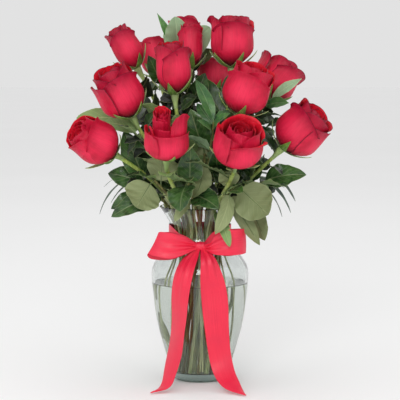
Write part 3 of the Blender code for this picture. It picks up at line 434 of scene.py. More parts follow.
# Rows to each span of cloth, then how far it bulges and how deep its folds are
CLOTH_SPANS = 8
TAIL_SHAPE = (-0.0012, 0.0020)
LOOP_SHAPE = (0.0010, 0.0024)
TIP_HALF = Vector((0.0004, 0, 0))


def cloth_edges(*rows):
    """The left and right edge of a length of ribbon, from rows of six tenths of a millimetre."""
    return [[tuple(length / 10000 for length in row[k : k + 3]) for k in (0, 3)] for row in rows]


TAILS = {
    "left": cloth_edges(
        (-35, -500, 1850, 0, -540, 1830), (-230, -560, 1710, -30, -680, 1700),
        (-320, -640, 1520, -95, -830, 1480), (-370, -600, 1200, -165, -880, 1200),
        (-390, -580, 850, -190, -890, 850), (-410, -610, 520, -220, -930, 500),
        (-457, -740, 260, -330, -1000, 225), (-525, -885, 80, -425, -1015, 70),
    ),
    "right": cloth_edges(
        (10, -540, 1830, 70, -510, 1850), (0, -680, 1690, 215, -590, 1690),
        (5, -730, 1480, 310, -660, 1480), (20, -715, 1200, 360, -650, 1200),
        (50, -720, 850, 375, -660, 850), (100, -760, 520, 405, -700, 520),
        (180, -860, 240, 460, -820, 240), (330, -1020, 60, 530, -990, 90),
    ),
}
TAIL_TIPS = {"left": (-0.0640, -0.1060, 0.0016), "right": (0.0590, -0.1200, 0.0016)}
TAIL_SWAY = {"left": (0.0018, 0.05), "right": (0.0028, 0.45)}
LOOPS = {
    "left": cloth_edges(
        (-40, -535, 1900, -40, -535, 1830), (-200, -620, 1990, -190, -630, 1770),
        (-360, -660, 2050, -390, -680, 1720), (-500, -620, 2065, -580, -650, 1745),
        (-545, -560, 2050, -690, -580, 1765), (-500, -510, 2050, -640, -525, 1695),
        (-360, -450, 2040, -400, -500, 1680), (-190, -450, 1990, -200, -520, 1750),
        (-40, -480, 1890, -40, -490, 1830),
    ),
    "right": cloth_edges(
        (45, -535, 1890, 45, -535, 1830), (130, -590, 1915, 120, -590, 1790),
        (200, -620, 2010, 200, -630, 1765), (350, -665, 2092, 350, -680, 1760),
        (455, -650, 2098, 465, -662, 1763), (540, -580, 2100, 553, -588, 1766),
        (590, -485, 2095, 605, -485, 1772), (540, -435, 2090, 555, -450, 1762),
        (370, -430, 2080, 380, -500, 1730), (190, -450, 2055, 200, -510, 1760),
        (45, -490, 1900, 45, -490, 1830),
    ),
}

# The photograph's view
CAMERA_PLACE = (0.0, -2.0, 0.42)
CAMERA_DOWN = 5.06
CAMERA_LENS = 134.0
CAMERA_WIDTH = 36.0

FLOOR_RINGS = (30.0, 2.0, 0.0)
FLOOR_SIDES = 96
# Lamps: each one's place, what it is turned to, its size and power, and whether the glass shows it
LAMPS = (
    ("key_softbox", (-0.30, -2.1, 1.25), (0, 0, 0.30), 0.9, 18, True),
    ("low_softbox", (-1.3, -1.3, 0.35), (0, 0, 0.15), 0.6, 2, False),
    ("side_softbox", (1.5, -1.3, 0.7), (0, 0, 0.10), 1.2, 2, False),
    ("top_softbox", (0.0, 0.10, 1.9), (0, 0.2, 0.0), 1.9, 1.5, True),
    ("back_softbox", (0.0, 1.6, 2.2), (0, 2.0, 0.0), 2.0, 3.5, False),
)


# Curves and grids


def smooth_step(x):
    x = np.clip(x, 0.0, 1.0)
    return x * x * (3 - 2 * x)


def through(points, steps):
    """A smooth curve through points, each row one point, with steps rows to each span."""
    points = np.asarray(points, float)
    ends = np.concatenate([2 * points[:1] - points[1:2], points, 2 * points[-1:] - points[-2:-1]])
    rows = []
    for a, b, c, d in zip(ends, ends[1:], ends[2:], ends[3:]):
        for t in np.arange(steps) / steps:
            slope, bend = c - a, 2 * a - 5 * b + 4 * c - d
            rows.append(b + 0.5 * (slope * t + bend * t**2 + (3 * (b - c) + d - a) * t**3))
    return np.array([*rows, points[-1]])


def normals_of(grid):
    """The direction straight off a grid's surface at each of its points."""
    normal = np.cross(np.gradient(grid, axis=1), np.gradient(grid, axis=0))
    return normal / np.maximum(np.linalg.norm(normal, axis=2, keepdims=True), TINY)


class Sheets:
    """Thin curved sheets, each with two faces and a closed edge, gathered for one mesh."""

    def __init__(self):
        self.points, self.faces, self.places, self.front, self.tone = [], [], [], [], []
        self.count = 0

    def add(self, grid, thickness, tone=0.0, flipped=False):
        """Adds a sheet along a grid of points. Its front is where columns and rows turn anticlockwise."""
        rows, columns, _ = grid.shape
        half = np.full((rows, columns, 1), thickness / 2)
        half[[0, -1]] *= EDGE_SHARE
        half[:, [0, -1]] *= EDGE_SHARE
        off, total = normals_of(grid) * half, rows * columns
        index = np.arange(total).reshape(rows, columns) + self.count
        corners = (index[:-1, :-1], index[:-1, 1:], index[1:, 1:], index[1:, :-1])
        broad = np.stack(corners, axis=-1).reshape(-1, 4)
        rim = np.concatenate([index[0], index[1:, -1], index[-1, -2::-1], index[-2:0:-1, 0]])
        after = np.roll(rim, -1)
        edge = np.stack((rim, rim + total, after + total, after), axis=-1)
        self.points += [(grid + off).reshape(-1, 3), (grid - off).reshape(-1, 3)]
        self.faces += [broad, broad[:, ::-1] + total, edge]
        u, v = np.meshgrid(np.linspace(0, 1, columns), np.linspace(0, 1, rows))
        places = np.tile(np.stack((u, v), axis=-1).reshape(-1, 2), (2, 1))
        side = np.full(total, 0.0 if flipped else 1.0)
        self.note(places, np.concatenate([side, 1 - side]), tone)

    def tube(self, path, radius, tone=0.0, sides=8):
        """Adds a round tapering stalk along a path, closed at both ends."""
        path = np.asarray(path, float)
        radius = np.broadcast_to(radius, (len(path),))[:, None, None]
        ahead = np.gradient(path, axis=0)
        ahead /= np.linalg.norm(ahead, axis=1, keepdims=True)
        across = np.cross(ahead, (0.31, 0.12, 0.94) if abs(ahead[0][2]) < 0.9 else (0.94, 0.31, 0.12))
        across /= np.linalg.norm(across, axis=1, keepdims=True)
        other = np.cross(ahead, across)
        angle = (2 * np.pi * np.arange(sides) / sides)[None, :, None]
        rings = path[:, None] + (np.cos(angle) * across[:, None] + np.sin(angle) * other[:, None]) * radius
        body = len(path) * sides
        index = np.arange(body).reshape(-1, sides) + self.count
        after = np.roll(index, -1, axis=1)
        low, high = (np.full(sides, self.count + body + end) for end in (0, 1))
        self.points += [rings.reshape(-1, 3), path[[0, -1]]]
        self.faces += [
            np.stack((index[:-1], after[:-1], after[1:], index[1:]), axis=-1).reshape(-1, 4),
            np.stack((after[0], index[0], low), axis=-1),
            np.stack((index[-1], after[-1], high), axis=-1),
        ]
        places = np.stack((np.full(body + 2, 0.5), np.linspace(0, 1, body + 2)), axis=-1)
        self.note(places, np.ones(body + 2), tone)

    def note(self, places, front, tone):
        """Keeps the place, side and tone of the points that came last."""
        self.places.append(places)
        self.front.append(front)
        self.tone.append(np.full(len(places), tone))
        self.count += len(places)

    def piece(self, name, material):
        faces = [face for block in self.faces for face in block.tolist()]
        made = mesh_piece(name, np.concatenate(self.points), faces, material)
        mesh = made.data
        corner = np.empty(len(mesh.loops), np.int32)
        mesh.loops.foreach_get("vertex_index", corner)
        places = mesh.uv_layers.new(name="place")
        places.data.foreach_set("uv", np.concatenate(self.places)[corner].astype(np.float32).ravel())
        for label, values in (("front", self.front), ("tone", self.tone)):
            attribute = mesh.attributes.new(label, "FLOAT", "POINT")
            attribute.data.foreach_set("value", np.concatenate(values).astype(np.float32))
        return made


def placed(name, data):
    made = bpy.data.objects.new(name, data)
    bpy.context.scene.collection.objects.link(made)
    return made


def mesh_piece(name, points, faces, material, sharp=SHARP):
    mesh = bpy.data.meshes.new(name)
    mesh.from_pydata([tuple(p) for p in points], [], faces)
    mesh.shade_smooth()
    mesh.set_sharp_from_angle(angle=math.radians(sharp))
    mesh.materials.append(material)
    return placed(name, mesh)


def turned(profile, sides):
    """An outline of (radius, height) turned about Z, listed upwards outside. Radius 0 makes one point."""
    points, rings = [], []
    for radius, height in profile:
        first, around = len(points), sides if radius else 1
        rings.append([first + k % around for k in range(sides)])
        angles = (2 * math.pi * k / sides for k in range(around))
        points += [(radius * math.cos(angle), radius * math.sin(angle), height) for angle in angles]
    faces = []
    for lower, upper in zip(rings, rings[1:]):
        for k in range(sides):
            n = (k + 1) % sides
            faces.append(tuple(dict.fromkeys((lower[k], lower[n], upper[n], upper[k]))))
    return points, faces


def facing_matrix(middle, facing):
    """Carries +Z to a direction, and the origin to a place."""
    turn = Vector(facing).normalized().to_track_quat("Z", "Y").to_matrix().to_4x4()
    return Matrix.Translation(Vector(middle)) @ turn


def carried(grid, place):
    """A grid of points moved by a matrix."""
    matrix = np.array(place)
    return grid @ matrix[:3, :3].T + matrix[:3, 3]


def stand_for(piece, slot, *nodes):
    """A piece of the part itself: it rides on the part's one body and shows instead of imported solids."""
    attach(piece, "root")
    if nodes:
        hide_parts(*nodes)
    return piece


# Materials


# What each step of a finish is called here: its node, and that node's settings
STEPS = {
    "times": ("ShaderNodeMath", {"operation": "MULTIPLY"}),
    "plus": ("ShaderNodeMath", {"operation": "ADD"}),
    "minus": ("ShaderNodeMath", {"operation": "SUBTRACT"}),
    "size": ("ShaderNodeMath", {"operation": "ABSOLUTE"}),
    "fraction": ("ShaderNodeMath", {"operation": "FRACT"}),
    "larger": ("ShaderNodeMath", {"operation": "MAXIMUM"}),
    "smaller": ("ShaderNodeMath", {"operation": "MINIMUM"}),
    "fade": ("ShaderNodeMapRange", {"interpolation_type": "SMOOTHSTEP"}),
    "bump": ("ShaderNodeBump", {}),
    "parts": ("ShaderNodeSeparateXYZ", {}),
    "spots": ("ShaderNodeTexCoord", {}),
    "blend": ("ShaderNodeMix", {"data_type": "RGBA"}),
    "soft light": ("ShaderNodeMix", {"data_type": "RGBA", "blend_type": "SOFT_LIGHT"}),
}


def colour(code):
    """An sRGB hex code as linear red, green, blue and full alpha."""
    parts = [int(code[i : i + 2], 16) / 255 for i in (1, 3, 5)]
    return (*(c / 12.92 if c <= 0.04045 else ((c + 0.055) / 1.055) ** 2.4 for c in parts), 1.0)


def fill(node, *inputs, **named):
    """Fills a node's inputs, in the order that it shows them or by name with _ for a space.

    Each is a value, a hex colour, a socket, or a node whose first output is taken.
    """
    shown = [socket for socket in node.inputs if socket.enabled]
    by_name = [(node.inputs[name.replace("_", " ")], value) for name, value in named.items()]
    for socket, value in [*zip(shown, inputs), *by_name]:
        if isinstance(value, bpy.types.Node):
            value = next(out for out in value.outputs if out.enabled)
        if isinstance(value, bpy.types.NodeSocket):
            node.id_data.links.new(value, socket)
        else:
            socket.default_value = colour(value) if isinstance(value, str) else value
    return node


def add(tree, step, *inputs, **named):
    """Adds one node. Names in small letters are its settings, and everything else is its inputs."""
    kind, settings = STEPS.get(step, (step, {}))
    made = tree.nodes.new(kind)
    for name, value in {**settings, **named}.items():
        if name.islower():
            setattr(made, name, value)
    return fill(made, *inputs, **{name: value for name, value in named.items() if not name.islower()})


def mottle(node, spacing, detail=3.0, stretch=(1, 1, 1), source=None):
    """Cloudy variation from 0 to 1. Its patches are spaced in metres, or in a sheet's widths."""
    if source is None:
        source = node("spots").outputs["Object"]
    scaled = node("ShaderNodeMapping", source, Scale=stretch)
    return node("ShaderNodeTexNoise", scaled, Scale=1 / spacing, Detail=detail)


def on_sheet(node):
    """A point's place on its sheet, how far across and along that is from 0 to 1, its side, and its tone."""
    place = node("ShaderNodeUVMap", uv_map="place")
    parts = node("parts", place).outputs
    marks = (node("ShaderNodeAttribute", attribute_name=name).outputs["Fac"] for name in ("front", "tone"))
    return place, parts["X"], parts["Y"], *marks


def new_material(name):
    """A new material, the function that adds a node to it, and its shader."""
    material = bpy.data.materials.new(name)
    material.use_nodes = True
    return material, partial(add, material.node_tree), material.node_tree.nodes["Principled BSDF"]


def rose_petal():
    """Velvety living petal: crimson outside, warmer inside, with a painted highlight where it bulges, darker
    along its rim.
    """
    material, node, shader = new_material("velvet_rose_petal")
    place, across, along, front, tone = on_sheet(node)
    edge = node("size", node("minus", across, 0.5))
    streak = mottle(node, 0.022, 3.0, (1.0, 0.05, 1.0), place)
    crease = mottle(node, 0.14, 2.0, (1.0, 0.20, 1.0), place)
    relief = node("plus", node("times", streak, 0.16), crease)
    cloud = mottle(node, 0.014)
    outside = node("blend", node("fade", cloud, 0.30, 0.75), "#B60A30", "#D0163E")
    # Painted highlight: a paler pink in the middle of each petal's outside, where it bulges
    bulge = node("times", node("fade", edge, 0.36, 0.05), node("fade", along, 0.85, 0.40))
    bulge = node("times", bulge, node("fade", along, 0.12, 0.36))
    outside = node("blend", node("times", bulge, 0.60), outside, "#EE2C54")
    high = node("times", node("fade", along, 0.45, 0.95), node("times", tone, 0.62))
    outside = node("blend", high, outside, "#8A0A30")
    inside = node("blend", node("fade", cloud, 0.30, 0.70), "#C80C26", "#E81A32")
    both = node("blend", front, inside, outside)
    foot = node("blend", node("fade", along, 0.0, 0.20), "#5E0A18", both)
    veined = node("blend", node("times", node("fade", streak, 0.45, 0.75), 0.28), foot, "#98082A")
    rim = node("larger", node("fade", along, 0.93, 1.0), node("fade", edge, 0.465, 0.5))
    fill(
        shader, Base_Color=node("blend", node("times", rim, node("times", tone, 0.85)), veined, "#43051A"),
        Roughness=0.52, Specular_IOR_Level=0.30, Sheen_Weight=0.06, Sheen_Roughness=0.35,
        Sheen_Tint="#FF8FA8",
        Normal=node("bump", Height=relief, Distance=0.0020),
    )
    return material


def leaf(name, upper, upper_dark, under, vein, gloss, spacing, slant):
    """A living leaf: waxy above, dull and paler below, with a rib and side veins as fine light lines."""
    material, node, shader = new_material(name)
    _, across, along, front, tone = on_sheet(node)
    off = node("times", node("size", node("minus", across, 0.5)), 2.0)
    climb = node("minus", node("times", along, spacing), node("times", off, slant))
    wave = node("size", node("minus", node("fraction", climb), 0.5))
    side = node("times", node("fade", wave, 0.40, 0.50), node("fade", off, 1.0, 0.55))
    lines = node("larger", node("fade", off, 0.085, 0.02), node("times", side, 0.55))
    above = node("blend", node("fade", mottle(node, 0.010), 0.30, 0.72), upper_dark, upper)
    above = node("blend", node("times", lines, 0.26), above, vein)
    below = node("blend", node("times", lines, 0.40), under, vein)
    both = node("blend", front, below, above)
    pale = node("soft light", node("times", node("larger", tone, 0.0), 0.55), both, "#FFFFFF")
    # Tone below zero darkens a leaf towards near-black: a little on some leaves, and deeply as painted shade
    # on the leaves that fill the bunch
    shade = node("blend", node("times", node("smaller", tone, 0.0), -0.85), pale, "#0A140A")
    relief = node("plus", node("times", lines, -0.6), node("times", mottle(node, 0.0011, 2.0), 0.25))
    fill(
        shader, Base_Color=node("blend", node("times", node("fade", off, 0.93, 1.0), 0.45), shade, vein),
        Roughness=node("blend", front, (0.66, 0.66, 0.66, 1), (gloss, gloss, gloss, 1)),
        Specular_IOR_Level=0.45, Normal=node("bump", Height=relief, Distance=0.0005),
    )
    return material


def thin_stalk(name, spacing, detail, dark, light, roughness, depth):
    """A thin stalk with lengthwise grain: a dry twig, or a stalk that is bleached in the water."""
    material, node, shader = new_material(name)
    grain = mottle(node, spacing, detail, (1, 1, 0.10))
    base = node("blend", node("fade", grain, 0.30, 0.70), dark, light)
    fill(
        shader, Base_Color=base, Roughness=roughness, Normal=node("bump", Height=grain, Distance=depth),
    )
    return material


def rose_stem():
    """Living rose stem: yellow-green and faintly waxy, greyer in the vase, with light and brown streaks."""
    material, node, shader = new_material("green_rose_stem")
    height = node("parts", node("spots").outputs["Object"]).outputs["Z"]
    grain = mottle(node, 0.004, 3.0, (1, 1, 0.08))
    streak = node("fade", grain, 0.35, 0.65)
    low, high = node("blend", streak, "#8C9C68", "#C0C898"), node("blend", streak, "#8DA546", "#B4C468")
    green = node("blend", node("fade", height, 0.20, 0.30), low, high)
    patch = node("times", node("fade", mottle(node, 0.030), 0.55, 0.75), 0.35)
    fill(
        shader, Base_Color=node("blend", patch, green, "#7A6A34"), Roughness=0.42, Specular_IOR_Level=0.40,
        Normal=node("bump", Height=grain, Distance=0.0003),
    )
    return material


def satin():
    """Single-face satin: its floating threads run along it, so it gleams in soft bands on its folds, and fine
    streaks of painted sheen run along its threads.
    """
    material, node, shader = new_material("woven_red_satin")
    place, across, *_ = on_sheet(node)
    thread = mottle(node, 0.006, 2.0, (1.0, 0.02, 1.0), place)
    # Painted sheen: lighter and darker streaks along the threads
    painted_thread_sheen = node("blend", node("fade", thread, 0.30, 0.70), "#DC1A3A", "#F02C4C")
    cloth = node("times", node("fade", mottle(node, 0.020), 0.4, 0.7), 0.30)
    selvedge = node("fade", node("size", node("minus", across, 0.5)), 0.485, 0.5)
    base = node("blend", node("times", selvedge, 0.35), node("blend", cloth, painted_thread_sheen, "#D42444"), "#A8142E")
    relief = node("plus", thread, node("times", selvedge, 2.0))
    fill(
        shader, Base_Color=base, Roughness=0.36, Specular_IOR_Level=0.42, Sheen_Weight=0.10,
        Sheen_Roughness=0.30, Sheen_Tint="#FF9CAC", Anisotropic=0.4,
        Normal=node("bump", Height=relief, Distance=0.00012),
    )
    return material


def see_through(name, tint, low_tint, index, passed, inside, density):
    """Clear and refracting to the eye, greyer where it is thick, and of another tint close to the floor,
    which on the vase's foot is darker: partly the thick glass's own colour, partly painted shade along its
    lower edge.

    Lamps reach through it with the given tint, as they do through thin glass.
    """
    material, node, shader = new_material(name)
    height = node("parts", node("spots").outputs["Object"]).outputs["Z"]
    fill(
        # The tint close to the floor darkens the vase's foot: partly thick glass, partly painted shade along
        # its lower edge
        shader, Base_Color=node("blend", node("fade", height, 0.0090, 0.0015), tint, low_tint), Roughness=0.0,
        IOR=index, Transmission_Weight=1.0,
        Normal=node("bump", Height=mottle(node, 0.035, 1.0), Distance=0.0006),
    )
    lamp = node("ShaderNodeLightPath").outputs["Is Shadow Ray"]
    surface = node("ShaderNodeMixShader", lamp, shader, node("ShaderNodeBsdfTransparent", passed))
    body = node("ShaderNodeVolumeAbsorption", inside, density)
    fill(material.node_tree.nodes["Material Output"], Surface=surface, Volume=body)
    return material


def studio_paper():
    """Seamless matt studio paper, off-white."""
    material, node, shader = new_material("matt_studio_paper")
    base = node("blend", mottle(node, 0.9, 2.0), "#F6F6F6", "#FAFAFA")
    fill(shader, Base_Color=base, Roughness=0.9, Specular_IOR_Level=0.1)
    return material


# Stems


def bundle_point(ring, place, height):
    """A place of the bundle at a height between the vase's floor and its neck."""
    places, *radii = RINGS[ring]
    angle = 2 * math.pi * place / places
    foot, neck = (
        Vector((math.cos(turn), math.sin(turn), 0)) * radius
        for turn, radius in zip((angle - BUNDLE_TWIST, angle), radii)
    )
    point = foot.lerp(neck, (height - FOOT_HEIGHT) / (NECK_HEIGHT - FOOT_HEIGHT))
    point.z = height
    return point


def stem_path(stem, head, count):
    """Straight up from the stem's place to the neck, then one smooth bend that meets the head as it faces."""
    foot, neck = (bundle_point(stem.ring, stem.place, height) for height in (FOOT_HEIGHT, NECK_HEIGHT))
    head, facing = Vector(head), Vector(stem.facing).normalized()
    reach = (head - neck).length
    leave = neck + (neck - foot).normalized() * reach * BEND_LOW
    arrive = head - facing * reach * BEND_HIGH
    path = [foot, neck]
    for i in range(1, count + 1):
        t = i / count
        start = neck * (1 - t) ** 3 + leave * 3 * t * (1 - t) ** 2
        path.append(start + arrive * 3 * t**2 * (1 - t) + head * t**3)
    return path


def along_stem(path, at):
    """A point of a stem between its neck, at 0, and its head, at 1."""
    runs = path[1:]
    place = at * (len(runs) - 1)
    k = min(int(place), len(runs) - 2)
    return runs[k].lerp(runs[k + 1], place - k)


def stem_tree():
    """A node tree that turns a line into a stem of uneven thickness, with thorns along it above a height."""
    tree = bpy.data.node_groups.new("stem_with_thorns", "GeometryNodeTree")
    tree.interface.new_socket("Geometry", in_out="OUTPUT", socket_type="NodeSocketGeometry")
    for name, kind in {"Line": "Geometry", **STEM_INPUTS}.items():
        tree.interface.new_socket(name, in_out="INPUT", socket_type="NodeSocket" + kind)
    node = partial(add, tree)
    given = node("NodeGroupInput").outputs
    line = node("GeometryNodeMeshToCurve", given["Line"])
    place = node("GeometryNodeInputPosition")
    noise = node("ShaderNodeTexNoise", place, Scale=45.0, Detail=1.0)
    uneven = node("ShaderNodeMapRange", noise, To_Min=STEM_UNEVEN[0], To_Max=STEM_UNEVEN[1])
    ring = node("GeometryNodeCurvePrimitiveCircle", STEM_SIDES, given["Radius"])
    bar = node("GeometryNodeCurveToMesh", line, ring, uneven, True)
    spots = node("GeometryNodeCurveToPoints", line, given["Thorn Spacing"], mode="LENGTH")
    any_way = (0.0, 0.0, 6.283)
    spin = node("FunctionNodeRandomValue", Max=any_way, Seed=given["Seed"], data_type="FLOAT_VECTOR")
    turn = node("FunctionNodeRotateRotation", spots.outputs["Rotation"], spin, rotation_space="LOCAL")
    size = node("FunctionNodeRandomValue", 0.6, 1.0, Seed=given["Seed"])
    height = node("parts", place).outputs["Z"]
    high = node("FunctionNodeCompare", height, given["Lowest Thorn"], operation="GREATER_THAN")
    foot = {"Vertices": THORN_SIDES, "Radius_Bottom": THORN_FOOT}
    cone = node("GeometryNodeMeshCone", Depth=given["Thorn Length"], **foot)
    out = node("ShaderNodeCombineXYZ", node("times", given["Radius"], 0.7))
    thorn = node("GeometryNodeTransform", cone, out, (0.0, THORN_LEAN, 0.0))
    thorns = node(
        "GeometryNodeInstanceOnPoints", spots, Selection=high, Instance=thorn, Rotation=turn, Scale=size,
    )
    both = fill(node("GeometryNodeJoinGeometry", bar), thorns)
    smooth = node("GeometryNodeSetShadeSmooth", node("GeometryNodeRealizeInstances", both))
    node("NodeGroupOutput", node("GeometryNodeSetMaterial", smooth, Material=given["Material"]))
    return tree


def grown(name, line, tree, radius, material, seed=1, thorns=NO_THORNS):
    """The plain mesh that the stems' node tree makes of a line of points."""
    mesh = bpy.data.meshes.new(name)
    mesh.from_pydata([tuple(p) for p in line], [(i, i + 1) for i in range(len(line) - 1)], [])
    made = placed(name, mesh)
    modifier = made.modifiers.new("grow", "NODES")
    modifier.node_group = tree
    identifiers = {item.name: item.identifier for item in tree.interface.items_tree if item.in_out == "INPUT"}
    for label, value in zip(STEM_INPUTS, (radius, *thorns, seed, material)):
        modifier[identifiers[label]] = value
    bpy.context.view_layer.update()
    graph = bpy.context.evaluated_depsgraph_get()
    made.data = bpy.data.meshes.new_from_object(made.evaluated_get(graph))
    made.modifiers.clear()
    made.data.set_sharp_from_angle(angle=math.radians(SHARP))
    return made


# Blooms


def belly(rise):
    """A bloom's share of its full radius at a share of its height, up to where it is widest."""
    return FOOT_SHARE + (1 - FOOT_SHARE) * np.sin(math.pi / 2 * np.minimum(1.0, rise / WIDEST)) ** 0.75


def petals_of(rose):
    """A bloom's petals from the outermost inwards, each turned from the last as they grow on a rose."""
    o = rose.open
    petals = list(SPECIAL_PETALS.get(rose.name, ()))
    core = BLOOM_CORE.get(rose.name, PLAIN_CORE)
    for k in range(PETAL_COUNT):
        q = k / (PETAL_COUNT - 1)
        turn = rose.turn + core.turn + GOLDEN_ANGLE * k
        half = 74 + 10 * q
        reach = (1.0 - 0.44 * q) * core.size
        high = rose.guard + (1.01 - rose.guard) * min(1.0, k / 3)
        close = (0.25 - 0.26 * o) * (1 - q) + 0.40 * q
        flare = (0.09 + 0.26 * o) * core.size**4 * (1 - q) ** 2 + 0.02
        roll = (0.75 + 0.50 * o) * core.size**2 * (1 - q) ** 1.5 + 0.12
        petal = Petal(turn, half, reach, high, close, flare, 0.20 - 0.06 * q, roll)
        if core.size < SMALL_CORE:
            level = 0.95 - 0.09 * math.cos(math.radians(turn - rose.turn))
            petal = petal._replace(height=level, close=0.04 + 0.20 * q, drop=0.03, roll=0.12, flare=0.03)
        petals.append(petal)
    return petals


def petal_grid(rose, petal, front, seed):
    """A petal's middle surface in the bloom's own frame: columns across it, and rows from foot to rim."""
    draw = random.Random(f"{rose.name} {seed}")
    s = np.linspace(-1, 1, PETAL_COLUMNS)[None, :]
    t = (1 - (1 - np.linspace(0, 1, PETAL_ROWS)) ** 1.6)[:, None]
    peak = draw.uniform(-0.25, 0.25)
    rise = t * (1 - petal.drop * np.abs(s - peak * (1 - s**2)) ** 2.2 * smooth_step(t))
    over = np.maximum(0.0, rise - WIDEST) / (1 - WIDEST)
    lip = np.maximum(0.0, rise - LIP) / (1 - LIP)
    share = belly(rise) * (1 - petal.close * over**2) + petal.flare * lip**2
    share = share * (0.5 + 0.5 * smooth_step(rise / 0.08))
    reach = petal.reach * share + 0.018 * s * smooth_step(rise * 2)
    phase, count = draw.random(), draw.uniform(1.0, 1.8)
    reach = reach + 0.018 * np.sin(2 * math.pi * (count * s + phase)) * t**3
    reach = reach + 0.010 * np.sin(2 * math.pi * (2.7 * s + 2 * phase)) * t**6
    radius = rose.radius * reach + 0 * t
    height = rose.height * petal.height * rise
    out, up = np.diff(radius, axis=0), np.diff(height, axis=0)
    middle = (t[1:] + t[:-1]) / 2
    left, right = draw.uniform(0.2, 1.1), draw.uniform(0.2, 1.1)
    uneven = 0.35 + np.abs(s) ** 1.3 * np.where(s < 0, left, right)
    lean = np.arctan2(out, up) + petal.roll * uneven * smooth_step((middle - ROLL_START) / (1 - ROLL_START))
    length = np.hypot(out, up)
    radius = np.concatenate([radius[:1], radius[:1] + np.cumsum(length * np.sin(lean), axis=0)])
    height = np.concatenate([height[:1], height[:1] + np.cumsum(length * np.cos(lean), axis=0)])
    spread = math.radians(petal.half) * s * (0.60 + 0.40 * smooth_step(t / 0.4))
    angle = front + math.radians(petal.turn) + spread * (1 - 0.10 * smooth_step((t - 0.6) / 0.4))
    ahead = np.maximum(0.0, np.cos(angle - front)) * smooth_step((t - 0.2) / 0.8)
    radius = radius * (1 - PRESSED.get(rose.name, 0.0) * ahead)
    return np.stack((radius * np.cos(angle), radius * np.sin(angle), height), axis=-1)


def heart_grid(rose, front, size):
    """The rolled heart: one long petal wound round itself, its rim rising and falling."""
    s = np.linspace(0, 1, HEART_COLUMNS)[None, :]
    t = np.linspace(0, 1, HEART_ROWS)[:, None]
    angle = front + 2 * math.pi * HEART_TURNS * s
    share = size * (0.05 + 0.36 * s**0.8) * (0.62 + 0.50 * np.sin(math.pi * (0.15 + 0.70 * t)))
    top = 0.91 + 0.05 * s + 0.025 * np.sin(2.3 * angle)
    radius, height = rose.radius * share, rose.height * (0.30 + (top - 0.30) * t)
    return np.stack((radius * np.cos(angle), radius * np.sin(angle), height), axis=-1)


def bloom_foot(rose):
    return Vector(rose.middle) - Vector(rose.facing).normalized() * rose.height / 2


def bloom_place(rose):
    return facing_matrix(bloom_foot(rose), rose.facing)


def turn_of(rose, degrees):
    """The angle in the bloom's own frame of what is that far past its first petal, to the right."""
    ahead = bloom_place(rose).to_3x3().inverted() @ Vector((0, -1, 0))
    return math.atan2(ahead.y, ahead.x) + math.radians(rose.turn + degrees)


def bloom(rose, material):
    place, front = bloom_place(rose), turn_of(rose, -rose.turn)
    sheets = Sheets()
    core, extra = BLOOM_CORE.get(rose.name, PLAIN_CORE), len(SPECIAL_PETALS.get(rose.name, ()))
    inner = Matrix.Translation(Vector(core.shift)) @ place
    for i, petal in enumerate(petals_of(rose)):
        grid = petal_grid(rose, petal, front, i)
        sheets.add(carried(grid, place if i < extra else inner), PETAL_SHEET, DARK_RIMS[rose.name])
    sheets.add(carried(heart_grid(rose, front, core.size), inner), PETAL_SHEET, HEART_TONE)
    made = sheets.piece("petals_" + rose.name, material)
    return stand_for(made, "red_petals", "bloom_" + rose.name)


# Leaves

Leaf = namedtuple("Leaf", "kind root base tip width roll face wave")


def corners_of(node):
    """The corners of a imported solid, for finding the leaves that it has."""
    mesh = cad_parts[node].data
    tree = KDTree(len(mesh.vertices))
    for i, vertex in enumerate(mesh.vertices):
        tree.insert(vertex.co, i)
    tree.balance()
    return tree


def standing(tries, tip_of, corners):
    """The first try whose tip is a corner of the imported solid, or None where the solid has no such leaf."""
    for one in tries:
        if corners.find(tip_of(one))[2] < TIP_MATCH:
            return one
    return None


def leaf_tries(kind, root, plan, seed):
    """The planned leaf, then others swung further and further from it, in a fixed order."""
    draw = random.Random(seed)
    reach = Vector(plan.tip) - root
    for i in range(LEAF_TRIES):
        swing = LEAF_SWING * (i / LEAF_TRIES) ** 0.7
        turn = Matrix.Rotation(draw.uniform(-swing, swing), 3, "Z")
        tilt = Matrix.Rotation(draw.uniform(-swing, swing), 3, reach.orthogonal().normalized())
        far = root + (tilt @ turn @ reach) * (1 - 0.25 * draw.random() * i / LEAF_TRIES)
        toward = (far - root).normalized()
        base = root + (toward + Vector((0, 0, 0.25))).normalized() * KINDS[kind].stalk
        roll = math.radians(plan.roll) + draw.uniform(-swing, swing)
        yield Leaf(kind, root, base, far, plan.width, roll, plan.face, draw.random())


def leaf_frame(leaf):
    """Directions along, across and up from a leaf.

    Where its plan doesn't say where its upper face looks, that is to the sky, or if it stands, to the axis.
    """
    along = (leaf.tip - leaf.base).normalized()
    inward = Vector((-leaf.base.x, -leaf.base.y, 0)).normalized()
    hint = Vector(leaf.face) if leaf.face else Vector((0, 0, 1)) + inward * 1.5 * max(0.0, along.z)
    up = (hint - along * hint.dot(along)).normalized()
    up = Matrix.Rotation(leaf.roll, 3, along) @ up
    return along, along.cross(up), up


